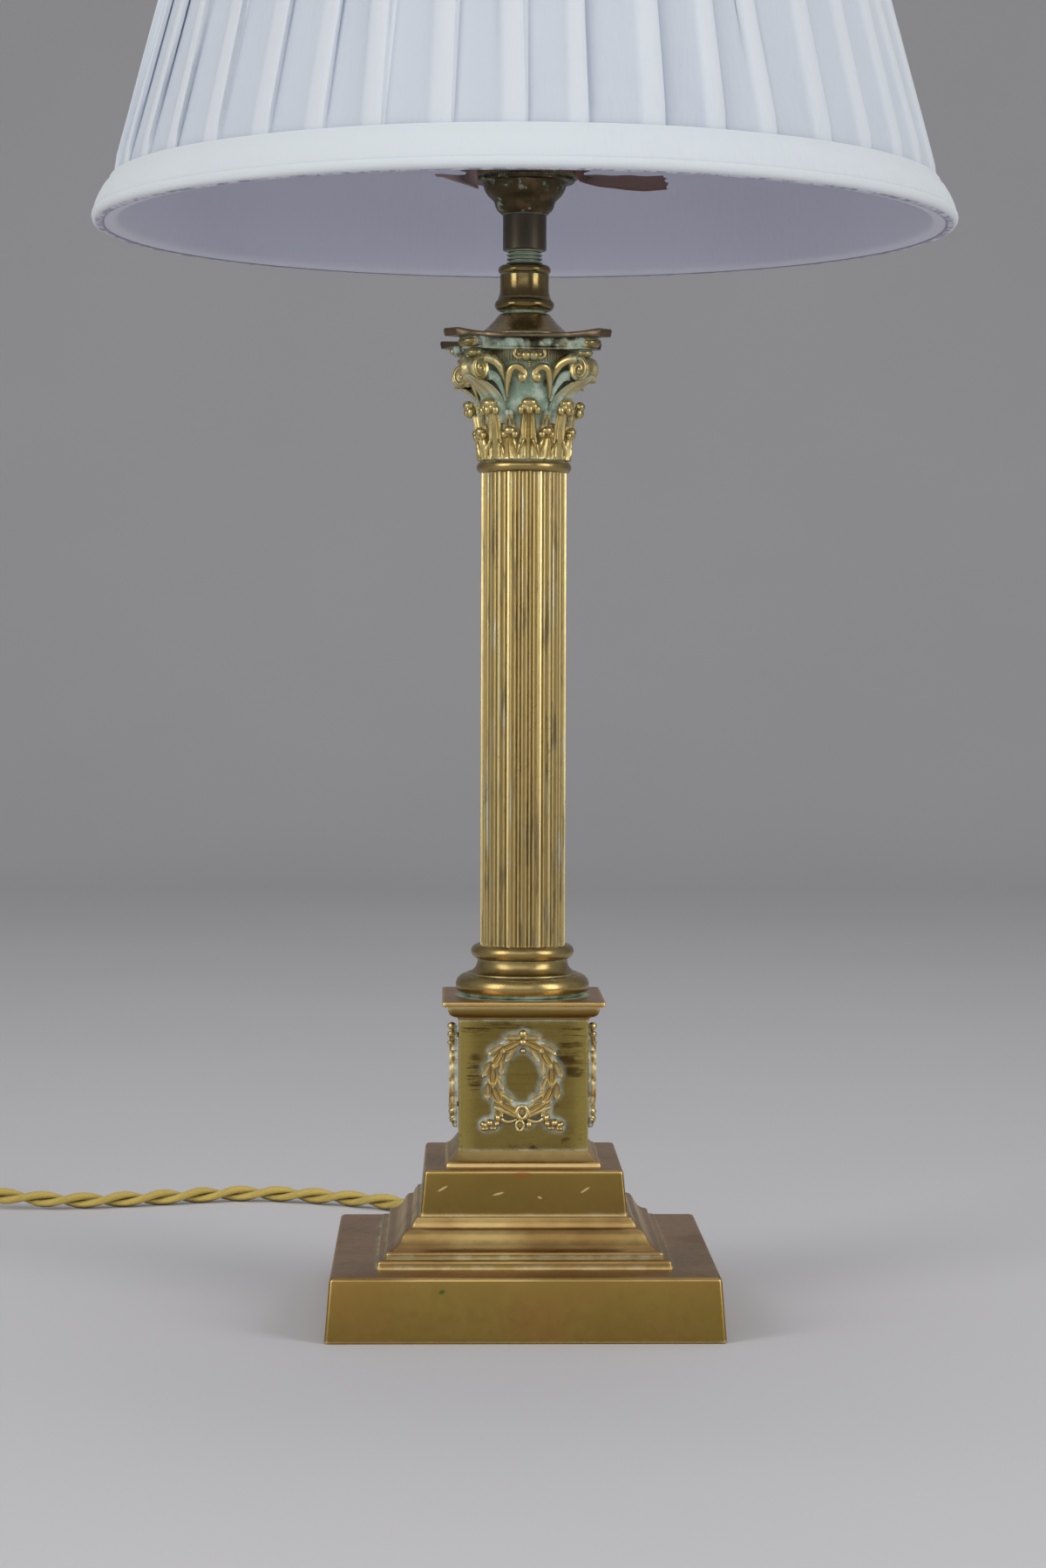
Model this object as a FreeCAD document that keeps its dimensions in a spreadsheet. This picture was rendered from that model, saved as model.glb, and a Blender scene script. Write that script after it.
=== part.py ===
import FreeCAD, Part
import math
import os
import types

import Sketcher
from FreeCAD import Placement, Rotation, Vector

# A column table lamp: a stepped square base, a pedestal with four laurel wreaths, a fluted
# column under a leafed capital, a lampholder on top, and a pleated tapering shade.
# Millimetres, +Z up, origin at the middle of the base's underside. The front looks along -Y
# and the cord leaves at the back, on +Y.

PARTS_FOLDER = "parts"
UP = Vector(0, 0, 1)

SIZES = {
    # fits and fasteners
    "rod_radius": 5.0,
    "rod_bore_radius": 3.9,
    "rod_clearance": 0.3,
    "thread_clearance": 0.05,
    "running_clearance": 0.08,
    "rod_foot_depth": 15.5,
    "clamp_washer_radius": 13.0,
    "clamp_washer_thickness": 2.0,
    "clamp_nut_flats": 17.0,
    "clamp_nut_height": 8.0,
    "base_screw_radius": 2.0,
    "base_screw_spacing": 56.0,
    "base_screw_head_radius": 3.8,
    "base_screw_head_height": 3.0,
    "base_screw_grip": 9.0,
    # plinth slab, ogee tier and upper block
    "plinth_width": 137.6,
    "plinth_draft": 1.6,
    "plinth_height": 22.5,
    "plinth_edge_radius": 1.8,
    "plinth_wall": 4.0,
    "plinth_roof": 4.0,
    "plinth_opening_radius": 33.0,
    "ogee_width": 102.4,
    "ogee_height": 16.0,
    "ogee_fillet_height": 2.1,
    "ogee_top_step": 4.4,
    "ogee_bead_radius": 1.75,
    "ogee_curve_width": 7.2,
    "ogee_bore_radius": 32.0,
    "block_width": 72.6,
    "block_draft": 1.4,
    "block_height": 16.0,
    "block_edge_radius": 1.6,
    "block_bore_radius": 30.0,
    "block_roof": 4.0,
    # pedestal
    "foot_width": 54.6,
    "foot_height": 5.2,
    "foot_lip": 1.0,
    "die_width": 45.8,
    "die_height": 46.4,
    "die_wall": 4.0,
    "cornice_width": 53.6,
    "cornice_height": 4.8,
    "cornice_lip": 0.8,
    "cap_plate_width": 57.6,
    "cap_plate_height": 1.9,
    "cap_plate_shadow": 0.4,
    # wreaths
    "wreath_level": 26.1,
    "wreath_half_width": 11.0,
    "wreath_half_height": 12.5,
    "wreath_band": 4.4,
    "wreath_stand_off": 0.5,
    "wreath_back_thickness": 0.9,
    "wreath_leaf_length": 8.6,
    "wreath_leaf_width": 3.3,
    "wreath_leaf_count": 7,
    "wreath_bead_radius": 1.5,
    "ribbon_half_width": 15.0,
    "ribbon_radius": 1.25,
    "knot_radius": 2.5,
    "wreath_pin_radius": 0.9,
    "wreath_pin_head": 1.8,
    # column
    "column_base_radius": 24.0,
    "column_base_height": 18.4,
    "lower_torus_height": 7.7,
    "upper_torus_radius": 18.5,
    "upper_torus_height": 5.2,
    "torus_fillet_height": 0.7,
    "spigot_height": 5.0,
    "spigot_clearance": 0.1,
    "shaft_radius": 15.27,
    "shaft_height": 168.6,
    "shaft_bore_radius": 12.4,
    "flute_radius": 1.2,
    "flute_count": 24,
    "flute_angle": 15.0,
    "neck_ring_radius": 17.0,
    "neck_ring_height": 4.1,
    # capital and its plate
    "capital_radius": 15.6,
    "capital_height": 42.6,
    "capital_lip_radius": 19.0,
    "capital_turn": 2.0,
    "low_leaf_height": 12.0,
    "low_leaf_reach": 17.6,
    "middle_leaf_height": 21.5,
    "middle_leaf_reach": 19.8,
    "leaf_width": 7.6,
    "volute_radius": 4.2,
    "volute_reach": 31.9,
    "volute_width": 6.6,
    "volute_level": 31.0,
    "scroll_radius": 2.2,
    "scroll_spacing": 6.2,
    "scroll_level": 28.8,
    "bud_radius": 2.1,
    "bud_level": 35.6,
    "capital_abacus_height": 4.0,
    "capital_abacus_reach": 33.4,
    "capital_abacus_corner": 7.0,
    "capital_abacus_waist": 19.0,
    "abacus_height": 1.5,
    "abacus_reach": 38.6,
    "abacus_corner": 7.6,
    "abacus_waist": 20.0,
    # turned neck under the lampholder
    "trumpet_radius": 17.6,
    "trumpet_edge": 0.6,
    "trumpet_top_radius": 9.06,
    "trumpet_height": 8.5,
    "trumpet_neck_radius": 7.2,
    "trumpet_neck_height": 1.0,
    "collar_height": 16.4,
    "collar_low_bead_radius": 10.65,
    "collar_low_bead_height": 4.4,
    "collar_waist_radius": 8.6,
    "collar_top_bead_radius": 9.4,
    "collar_top_bead_height": 3.4,
    "collar_thread_depth": 9.9,
    "nipple_radius": 6.35,
    "nipple_shown": 5.2,
    "nipple_engagement": 8.0,
    # lampholder
    "sleeve_radius": 7.78,
    "sleeve_height": 12.8,
    "dome_neck_radius": 8.4,
    "dome_waist_height": 3.4,
    "dome_waist_radius": 10.6,
    "dome_shoulder_radius": 14.84,
    "dome_height": 12.7,
    "dome_flange_radius": 17.93,
    "dome_flange_height": 1.1,
    "dome_wall": 1.0,
    "dome_seat_depth": 1.6,
    "shade_ring_radius": 19.9,
    "shade_ring_height": 2.9,
    "slip_washer_radius": 18.5,
    "slip_washer_thickness": 0.6,
    "shell_radius": 14.2,
    "shell_bore_radius": 11.7,
    "shell_height": 32.0,
    "block_body_height": 12.0,
    "terminal_radius": 2.0,
    "terminal_spacing": 8.0,
    "terminal_height": 5.0,
    "terminal_screw_radius": 0.9,
    "plunger_radius": 1.9,
    "plunger_length": 10.0,
    "plunger_stroke": 2.5,
    "spring_radius": 1.5,
    "spring_wire": 0.5,
    "spring_turns": 3,
    # packing cloth between the rings and the shade's fitter
    "cloth_thickness": 0.6,
    "cloth_width": 22.0,
    "cloth_left": 31.0,
    "cloth_right": 50.0,
    "cloth_droop": 4.0,
    "shade_gap": 0.3,
    # bulb
    "bulb_cap_radius": 11.0,
    "bulb_cap_height": 25.0,
    "bulb_cap_wall": 0.8,
    "bulb_pin_radius": 1.05,
    "bulb_pin_reach": 13.4,
    "bulb_pin_level": 7.0,
    "bulb_turn_angle": 15.0,
    "bulb_radius": 30.0,
    "bulb_length": 105.0,
    "bulb_neck_radius": 13.0,
    "bulb_glass_wall": 0.9,
    # shade
    "rim_radius": 153.7,
    "rim_drop": 21.9,
    "shade_height": 200.0,
    "shade_slope": 0.271,
    "trim_height": 15.0,
    "trim_flare": 1.6,
    "trim_wall": 1.2,
    "top_trim_height": 12.0,
    "pleat_count": 42,
    "pleat_depth": 1.5,
    "cover_wall": 0.8,
    "lining_wall": 0.6,
    "frame_gap": 0.1,
    "rim_wire_radius": 1.6,
    "strut_radius": 1.25,
    "strut_count": 6,
    "fitter_radius": 24.0,
    "fitter_hole_radius": 14.7,
    "fitter_thickness": 1.5,
    "arm_radius": 1.5,
    "arm_count": 3,
    "arm_rise": 40.0,
    # cord and its pieces
    "cord_diameter": 6.8,
    "cord_exit_level": 11.0,
    "flex_bend_radius": 28.0,
    "gland_flange_radius": 7.5,
    "gland_flange_thickness": 2.0,
    "gland_neck_radius": 5.4,
    "gland_length": 20.0,
    "gland_tip_radius": 4.5,
    "gland_nut_thickness": 3.0,
    "clip_width": 8.0,
    "clip_wall": 1.2,
    "clip_place": 46.0,
    "coil_radius": 48.0,
    "coil_turns_a_layer": 2.75,
    "coil_pitch": 7.3,
    "switch_length": 62.0,
    "switch_width": 24.0,
    "switch_half_height": 8.0,
    "switch_corner": 6.0,
    "switch_wall": 2.0,
    "switch_slot_length": 16.6,
    "switch_slot_width": 10.0,
    "rocker_half_length": 7.3,
    "rocker_side_gap": 0.4,
    "rocker_tilt": 7.0,
    "rocker_pin_radius": 1.0,
    "rocker_pin_level": 4.2,
    "plug_width": 48.0,
    "plug_length": 50.0,
    "plug_cover_height": 12.0,
    "plug_base_height": 7.0,
    "plug_corner": 10.0,
    "plug_pin_width": 6.4,
    "plug_pin_thickness": 4.0,
    "plug_pin_length": 17.7,
    "plug_earth_width": 8.0,
    "plug_earth_length": 22.7,
    "plug_pin_spacing": 22.2,
}

# Routes of the free flex, chosen by hand. The first leaves the gland and runs behind the base
# to the switch, the second turns from the switch into the coil, the third goes on to the plug.
RUN_ROUTE = [
    (0.0, 87.6, 11.0), (0.0, 108.0, 9.0), (-3.0, 134.0, 4.2), (-11.0, 166.0, 3.4),
    (-34.0, 201.0, 3.4), (-72.0, 226.0, 3.4), (-113.0, 240.0, 3.4), (-150.0, 225.0, 3.4),
    (-186.0, 215.0, 3.4), (-218.0, 219.0, 5.4), (-246.0, 219.0, 8.0),
]
LEAD_ROUTE = [
    (-308.0, 219.0, 8.0), (-326.0, 219.0, 6.0), (-347.0, 210.0, 3.8), (-360.0, 190.0, 3.4),
    (-362.0, 166.0, 3.4), (-362.0, 146.0, 3.4),
]
TAIL_ROUTE = [
    (-362.0, 146.0, 10.7), (-362.0, 128.0, 10.7), (-359.0, 108.0, 10.2), (-359.0, 92.0, 10.0),
]
COIL_CENTRE = (-314.0, 146.0)
ARC_SHARE = 0.45

document = FreeCAD.newDocument("ColumnTableLamp")
sheet = document.addObject("Spreadsheet::Sheet", "Sizes")
nodes = {}


class Size:
    """A size as a number, and as the expression over the sheet that gives it."""

    def __init__(self, number, text=None):
        self.number = float(number)
        self.text = text or repr(float(number))

    def joined(self, other, sign, number):
        return Size(number, "(" + self.text + " " + sign + " " + other.text + ")")

    def __add__(self, other):
        other = as_size(other)
        return self.joined(other, "+", self.number + other.number)

    def __sub__(self, other):
        other = as_size(other)
        return self.joined(other, "-", self.number - other.number)

    def __mul__(self, other):
        other = as_size(other)
        return self.joined(other, "*", self.number * other.number)

    def __truediv__(self, other):
        other = as_size(other)
        return self.joined(other, "/", self.number / other.number)

    def __radd__(self, other):
        return as_size(other) + self

    def __rsub__(self, other):
        return as_size(other) - self

    def __rmul__(self, other):
        return as_size(other) * self

    def __neg__(self):
        return as_size(0) - self

    def __float__(self):
        return self.number


def as_size(value):
    return value if isinstance(value, Size) else Size(value)


def fill_sheet():
    """Write each driving size to the sheet and give back one attribute for each alias."""
    named = {}
    for row, (alias, value) in enumerate(SIZES.items(), start=1):
        sheet.set("A%d" % row, alias)
        sheet.set("B%d" % row, repr(value))
        sheet.setAlias("B%d" % row, alias)
        named[alias] = Size(value, "Sizes." + alias)
    document.recompute()
    return types.SimpleNamespace(**named)


size = fill_sheet()


# ---------------------------------------------------------------- helpers for sheet-bound shapes

def bind(thing, **properties):
    """Set number properties of a document object and bind them to their expressions."""
    for name, value in properties.items():
        value = as_size(value)
        whole = isinstance(getattr(thing, name), int)
        setattr(thing, name, round(value.number) if whole else value.number)
        thing.setExpression(name, value.text)
    return thing


def place(thing, across=0, deep=0, up=0, turn=None, axis=UP):
    """Bind a document object's Placement to its expressions."""
    across, deep, up = as_size(across), as_size(deep), as_size(up)
    rotation = Rotation() if turn is None else Rotation(axis, float(turn))
    thing.Placement = Placement(Vector(across.number, deep.number, up.number), rotation)
    thing.setExpression("Placement.Base.x", across.text)
    thing.setExpression("Placement.Base.y", deep.text)
    thing.setExpression("Placement.Base.z", up.text)
    if isinstance(turn, Size):
        thing.setExpression("Placement.Rotation.Angle", turn.text)
    return thing


def keep(label, thing):
    """Name a document object as one of the lamp's pieces."""
    thing.Label = label
    nodes[label] = thing
    return thing


def cylinder(radius, height, across=0, deep=0, up=0, turn=None, axis=UP):
    shape = bind(document.addObject("Part::Cylinder", "Round"), Radius=radius, Height=height)
    return place(shape, across, deep, up, turn, axis)


def box(length, width, height, across=0, deep=0, up=0, centred=True):
    """A box whose foot is centred on across and deep, or has its low corner there."""
    length, width = as_size(length), as_size(width)
    shape = bind(document.addObject("Part::Box", "Block"), Length=length, Width=width,
                 Height=height)
    if centred:
        return place(shape, across - length / 2, deep - width / 2, up)
    return place(shape, across, deep, up)


def cut(base, *tools):
    """Part::Cut of each tool in turn."""
    for tool in tools:
        result = document.addObject("Part::Cut", "Cut")
        result.Base = base
        result.Tool = tool
        base = result
    return base


def fuse(*shapes):
    result = document.addObject("Part::MultiFuse", "Join")
    result.Shapes = list(shapes)
    return result


def common(*shapes):
    result = document.addObject("Part::MultiCommon", "Overlap")
    result.Shapes = list(shapes)
    return result


def group(*shapes):
    result = document.addObject("Part::Compound", "Group")
    result.Links = list(shapes)
    return result


def feature(label, shape, **where):
    """A piece whose shape the code works out from the sheet's values."""
    thing = document.addObject("Part::Feature", "Form")
    thing.Shape = shape
    if where:
        place(thing, **where)
    return keep(label, thing)


# ---------------------------------------------------------------- outlines in sketches

def to(across, up):
    """A corner reached by a straight line."""
    return types.SimpleNamespace(across=as_size(across), up=as_size(up), centre=None)


def arc_to(across, up, centre_across=None, centre_up=None, outward=True):
    """A corner reached by an arc. One coordinate of its centre is given, the other follows."""
    name = "across" if centre_across is not None else "up"
    value = as_size(centre_across if centre_across is not None else centre_up)
    centre = types.SimpleNamespace(name=name, value=value, outward=outward)
    return types.SimpleNamespace(across=as_size(across), up=as_size(up), centre=centre)


def arc_centre(start, end, centre):
    """The centre that is equally far from both ends and has the given coordinate."""
    (x0, y0), (x1, y1) = start, end
    if centre.name == "across":
        x = centre.value.number * centre.side
        y = (x1 ** 2 - x0 ** 2 + y1 ** 2 - y0 ** 2 - 2 * x * (x1 - x0)) / (2 * (y1 - y0))
    else:
        y = centre.value.number
        x = (x1 ** 2 - x0 ** 2 + y1 ** 2 - y0 ** 2 - 2 * y * (y1 - y0)) / (2 * (x1 - x0))
    return x, y


def add_segment(sketch, start, end, centre):
    """Add a line or an arc; give back its number and the ends at its start and finish."""
    if centre is None:
        line = Part.LineSegment(Vector(*start, 0), Vector(*end, 0))
        return sketch.addGeometry(line, False), 1, 2
    x, y = arc_centre(start, end, centre)
    radius = math.hypot(start[0] - x, start[1] - y)
    first = math.atan2(start[1] - y, start[0] - x)
    last = math.atan2(end[1] - y, end[0] - x)
    span = (last - first) % (2 * math.pi)
    middle = math.cos(first + span / 2) * centre.side
    forward = (middle > 0) == centre.outward
    if not forward:
        first, last = last, first
    circle = Part.Circle(Vector(x, y, 0), UP, radius)
    arc = Part.ArcOfCircle(circle, first, first + (last - first) % (2 * math.pi))
    return sketch.addGeometry(arc, False), (1 if forward else 2), (2 if forward else 1)


def fix(sketch, number, end, value, vertical):
    """Dimension one coordinate of a point from the origin."""
    if value.text == "0.0":
        sketch.addConstraint(Sketcher.Constraint("PointOnObject", number, end,
                                                 -1 if vertical else -2))
        return
    kind = "DistanceY" if vertical else "DistanceX"
    place_in_list = sketch.addConstraint(
        Sketcher.Constraint(kind, -1, 1, number, end, value.number))
    sketch.setExpression("Constraints[%d]" % place_in_list, value.text)


def draw(sketch, corners, mirrored=False):
    """Draw a closed outline, all of it or its right half with the left half mirrored."""
    steps = [(corner, 1) for corner in corners]
    if mirrored:
        left = []
        for index in range(len(corners) - 1, -1, -1):
            corner = corners[index]
            above = corners[index + 1].centre if index + 1 < len(corners) else None
            left.append((types.SimpleNamespace(across=corner.across, up=corner.up,
                                               centre=above), -1))
        steps = steps + left
    spots = [(corner.across.number * side, corner.up.number) for corner, side in steps]
    segments = []
    for index, (corner, side) in enumerate(steps):
        before = spots[index - 1]
        centre = corner.centre if index > 0 else None
        if centre is not None:
            centre = types.SimpleNamespace(name=centre.name, value=centre.value,
                                           outward=centre.outward, side=side)
        segments.append((add_segment(sketch, before, spots[index], centre), corner, side, centre))
    for index, ((number, first, last), corner, side, centre) in enumerate(segments):
        following, start, _ = segments[(index + 1) % len(segments)][0]
        sketch.addConstraint(Sketcher.Constraint("Coincident", number, last, following, start))
    for (number, first, last), corner, side, centre in segments:
        across = corner.across if side == 1 else -corner.across
        fix(sketch, number, last, across, False)
        fix(sketch, number, last, corner.up, True)
        if centre is not None:
            value = centre.value
            if centre.name == "across" and side == -1:
                value = -value
            fix(sketch, number, 3, value, centre.name == "up")


def plane_of(body, role):
    return next(item for item in body.Origin.OriginFeatures if item.Role == role)


def new_body(label, **where):
    body = document.addObject("PartDesign::Body", label)
    place(body, **where)
    return keep(label, body)


def body_sketch(body, role, name):
    sketch = body.newObject("Sketcher::SketchObject", name)
    sketch.AttachmentSupport = (plane_of(body, role), [""])
    sketch.MapMode = "FlatFace"
    return sketch


def turned(label, corners, **where):
    """A piece turned about Z from an outline of radius and height."""
    body = new_body(label, **where)
    sketch = body_sketch(body, "XZ_Plane", label + "_outline")
    draw(sketch, corners)
    turning = body.newObject("PartDesign::Revolution", label + "_turning")
    turning.Profile = sketch
    turning.ReferenceAxis = (sketch, ["V_Axis"])
    turning.Angle = 360
    return body


def padded_outline(label, corners, height, mirrored=True, **where):
    """A body padded from an outline, which is mirrored about its vertical axis."""
    body = new_body(label, **where)
    sketch = body_sketch(body, "XY_Plane", label + "_outline")
    draw(sketch, corners, mirrored)
    pad = body.newObject("PartDesign::Pad", label + "_pad")
    pad.Profile = sketch
    bind(pad, Length=height)
    return body


def pocket_outline(body, corners, depth, name, level=0, upward=False, mirrored=True):
    """Cut an outline out of a body, from a level of its own, and check that it cut."""
    document.recompute()
    before = body.Shape.Volume
    sketch = body_sketch(body, "XY_Plane", name + "_outline")
    level = as_size(level)
    sketch.AttachmentOffset = Placement(Vector(0, 0, level.number), Rotation())
    sketch.setExpression("AttachmentOffset.Base.z", level.text)
    draw(sketch, corners, mirrored)
    pocket = body.newObject("PartDesign::Pocket", name)
    pocket.Profile = sketch
    bind(pocket, Length=depth)
    pocket.Reversed = upward
    document.recompute()
    if not body.Shape.Volume < before - 0.01:
        raise RuntimeError(name + " cuts nothing")
    return pocket


def rectangle(length, width, across=0, up=0):
    """The right half of a rectangle that is centred on the vertical axis."""
    half = as_size(length) / 2
    low = as_size(up) - as_size(width) / 2
    high = as_size(up) + as_size(width) / 2
    return [to(half, low), to(half, high)]


def square_moulding(label, corners, level, tools=()):
    """A square piece with the same moulded edge on its four sides, mitred at the corners."""
    widest = max((corner.across for corner in corners), key=float)
    slabs = []
    for turn in (0, 90):
        sketch = document.addObject("Sketcher::SketchObject", label + "_edge")
        upright = Rotation(Vector(1, 0, 0), 90)
        sketch.Placement = Placement(Vector(), Rotation(UP, turn) * upright)
        draw(sketch, corners, mirrored=True)
        slab = document.addObject("Part::Extrusion", label + "_slab")
        slab.Base = sketch
        slab.DirMode = "Custom"
        slab.Dir = Rotation(UP, turn).multVec(Vector(0, 1, 0))
        slab.Solid = True
        slab.Symmetric = True
        bind(slab, LengthFwd=widest * 2)
        slabs.append(slab)
    return keep(label, place(cut(common(*slabs), *tools), up=level))


# ---------------------------------------------------------------- levels of the stack

half_plinth = size.plinth_width / 2
ogee_level = size.plinth_height
block_level = ogee_level + size.ogee_height
foot_level = block_level + size.block_height
die_level = foot_level + size.foot_height
cornice_level = die_level + size.die_height
cap_plate_level = cornice_level + size.cornice_height
column_base_level = cap_plate_level + size.cap_plate_height
shaft_level = column_base_level + size.column_base_height
neck_ring_level = shaft_level + size.shaft_height
capital_level = neck_ring_level + size.neck_ring_height
abacus_level = capital_level + size.capital_height
trumpet_level = abacus_level + size.abacus_height
collar_level = trumpet_level + size.trumpet_height + size.trumpet_neck_height
thread_level = collar_level + size.collar_height
sleeve_level = thread_level + size.nipple_shown
dome_level = sleeve_level + size.sleeve_height
ring_level = dome_level + size.dome_height
cloth_level = ring_level + size.shade_ring_height
fitter_level = cloth_level + size.cloth_thickness + size.shade_gap
slip_washer_level = fitter_level + size.fitter_thickness + size.shade_gap
upper_ring_level = slip_washer_level + size.slip_washer_thickness + size.thread_clearance
rim_level = fitter_level - size.rim_drop
rod_hole = size.rod_radius + size.rod_clearance


# ---------------------------------------------------------------- base

def screw_places():
    half = size.base_screw_spacing / 2
    return [(half * a, half * b) for a in (-1, 1) for b in (-1, 1)]


def screw_holes(height, up=0):
    radius = size.base_screw_radius + size.thread_clearance
    return [cylinder(radius, height, x, y, up) for x, y in screw_places()]


def make_base():
    half_top = half_plinth - size.plinth_draft
    edge = size.plinth_edge_radius
    inside = size.plinth_width - 2 * (size.plinth_wall + size.plinth_draft)
    spot_face = half_plinth - size.plinth_draft
    square_moulding("base_plinth", [
        to(half_plinth, 0),
        to(half_top, size.plinth_height - edge),
        arc_to(half_top - edge, size.plinth_height, centre_up=size.plinth_height - edge),
    ], 0, [
        box(inside, inside, size.plinth_height - size.plinth_roof),
        cylinder(size.plinth_opening_radius, size.plinth_height),
        cylinder(size.gland_neck_radius + size.thread_clearance, size.plinth_width,
                 0, 0, size.cord_exit_level, -90, Vector(1, 0, 0)),
        cylinder(size.gland_flange_radius + size.thread_clearance, size.plinth_width,
                 0, spot_face, size.cord_exit_level, -90, Vector(1, 0, 0)),
    ] + screw_holes(size.plinth_height))

    half = size.ogee_width / 2
    low = size.ogee_fillet_height
    bead = size.ogee_bead_radius
    curve_foot = half - size.ogee_top_step * 0.8
    curve_head = curve_foot - size.ogee_curve_width
    curve_top = size.ogee_height - 2 * bead - low * 0.5
    middle = curve_foot - size.ogee_curve_width / 2
    middle_up = (low * 1.5 + curve_top) / 2
    square_moulding("base_ogee_tier", [
        to(half, 0),
        to(half - 0.2, low),
        to(curve_foot, low * 1.5),
        arc_to(middle, middle_up, centre_up=low * 1.5, outward=True),
        arc_to(curve_head, curve_top, centre_up=curve_top, outward=False),
        to(curve_head - bead, size.ogee_height - 2 * bead),
        arc_to(curve_head - bead, size.ogee_height, centre_across=curve_head - bead),
    ], ogee_level, [cylinder(size.ogee_bore_radius, size.ogee_height)]
        + screw_holes(size.ogee_height))

    half = size.block_width / 2
    half_top = half - size.block_draft
    edge = size.block_edge_radius
    square_moulding("base_upper_block", [
        to(half, 0),
        to(half_top, size.block_height - edge),
        arc_to(half_top - edge, size.block_height, centre_up=size.block_height - edge),
    ], block_level, [
        cylinder(size.block_bore_radius, size.block_height - size.block_roof),
        cylinder(rod_hole, size.block_height),
    ] + screw_holes(size.base_screw_grip))

    reach = size.plinth_roof + size.ogee_height + size.base_screw_grip
    head_level = size.plinth_height - size.plinth_roof - size.base_screw_head_height
    screws = []
    for x, y in screw_places():
        shank_level = head_level + size.base_screw_head_height
        head = cylinder(size.base_screw_head_radius, size.base_screw_head_height, x, y,
                        head_level)
        screws.append(fuse(head, cylinder(size.base_screw_radius, reach - 0.5, x, y,
                                          shank_level)))
    keep("base_screws", group(*screws))


# ---------------------------------------------------------------- pedestal

def make_pedestal():
    half = size.foot_width / 2
    half_die = size.die_width / 2
    centre_hole = cylinder(rod_hole, size.foot_height)
    square_moulding("pedestal_foot", [
        to(half, 0),
        to(half, size.foot_lip),
        arc_to(half_die + 0.3, size.foot_height, centre_across=half + 0.6, outward=False),
    ], foot_level, [centre_hole])

    inside = size.die_width - 2 * size.die_wall
    pin_radius = size.wreath_pin_radius + size.thread_clearance
    through = []
    for level in wreath_pin_levels():
        for turn, axis in ((-90, Vector(1, 0, 0)), (90, Vector(0, 1, 0))):
            deep = -half_die - 1 if axis.x else as_size(0)
            across = -half_die - 1 if axis.y else as_size(0)
            through.append(cylinder(pin_radius, size.die_width + 2, across, deep,
                                    level, turn, axis))
    square_moulding("pedestal_die", [
        to(half_die, 0),
        to(half_die, size.die_height),
    ], die_level, [box(inside, inside, size.die_height)] + through)

    half = size.cornice_width / 2
    square_moulding("pedestal_cornice", [
        to(half_die + 0.5, 0),
        arc_to(half, size.cornice_height - size.cornice_lip, centre_across=half_die + 0.5),
        to(half, size.cornice_height),
    ], cornice_level, [cylinder(rod_hole, size.cornice_height)])

    half_plate = size.cap_plate_width / 2
    square_moulding("pedestal_cap_plate", [
        to(half - size.cornice_lip, 0),
        to(half - size.cornice_lip, size.cap_plate_shadow),
        to(half_plate, size.cap_plate_shadow),
        to(half_plate, size.cap_plate_height),
    ], cap_plate_level, [cylinder(rod_hole, size.cap_plate_height)])


# ---------------------------------------------------------------- wreaths

def wreath_pin_levels():
    """Heights above the die's foot of the two pins: behind the knot and the top beads."""
    middle = size.wreath_level
    return (middle - size.wreath_half_height, middle + size.wreath_half_height)


def spindle(length, width):
    """A leaf-shaped solid along X: an arc turned about its chord, with blunt tips."""
    half, thick, blunt = length / 2, width / 2, width * 0.06
    arc = Part.Arc(Vector(-half, blunt, 0), Vector(0, thick, 0), Vector(half, blunt, 0))
    outline = Part.Wire([
        Part.LineSegment(Vector(-half, 0, 0), Vector(-half, blunt, 0)).toShape(),
        arc.toShape(),
        Part.LineSegment(Vector(half, blunt, 0), Vector(half, 0, 0)).toShape(),
        Part.LineSegment(Vector(half, 0, 0), Vector(-half, 0, 0)).toShape(),
    ])
    return Part.Face(outline).revolve(Vector(), Vector(1, 0, 0), 360)


def wreath_form():
    """One wreath, drawn in X and Z round its middle, with its flat back on Y = 0."""
    wide = float(size.wreath_half_width)
    tall = float(size.wreath_half_height)
    band = float(size.wreath_band)
    back = float(size.wreath_back_thickness)
    length = float(size.wreath_leaf_length)
    width = float(size.wreath_leaf_width)

    def oval(extra):
        """An oval cylinder that is extra outside the wreath's middle line."""
        big, small = tall + extra, wide + extra
        ring = Part.Ellipse(Vector(), big, small)
        face = Part.Face(Part.Wire(ring.toShape()))
        solid = face.extrude(Vector(0, 0, back))
        solid.rotate(Vector(), UP, 90)
        solid.rotate(Vector(), Vector(1, 0, 0), 90)
        return solid

    solids = [oval(band / 2 - 0.6).cut(oval(0.6 - band / 2))]
    count = int(float(size.wreath_leaf_count))
    for side in (-1, 1):
        for step in range(count):
            share = (step + 0.5) / count
            angle = math.radians(-90 + side * (14 + 158 * share))
            for row, offset in ((-1, 20), (1, -20), (0, 0)):
                spread = row * band * 0.27
                shift = 0.0 if row else math.radians(side * 79 / count)
                at = angle + shift
                x = (wide + spread) * math.cos(at)
                z = (tall + spread) * math.sin(at)
                along = math.degrees(math.atan2(tall * math.cos(at) * side,
                                                -wide * math.sin(at) * side))
                leaf = spindle(length * (0.92 if row else 1.0), width)
                leaf.rotate(Vector(), Vector(0, 1, 0), -(along - row * side * offset * -1.0))
                leaf.translate(Vector(x, -back - (0.1 if row else 0.5), z))
                solids.append(leaf)
    bead = float(size.wreath_bead_radius)
    for step in (-1, 0, 1):
        solids.append(Part.makeSphere(bead, Vector(0, -back - 0.7, tall + step * bead * 1.7)))
    solids += ribbon_solids(tall, back)
    form = solids[0].multiFuse(solids[1:])
    slab = Part.makeBox(100, 20, 100, Vector(-50, -20, -50))
    return form.common(slab).removeSplitter()


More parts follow.
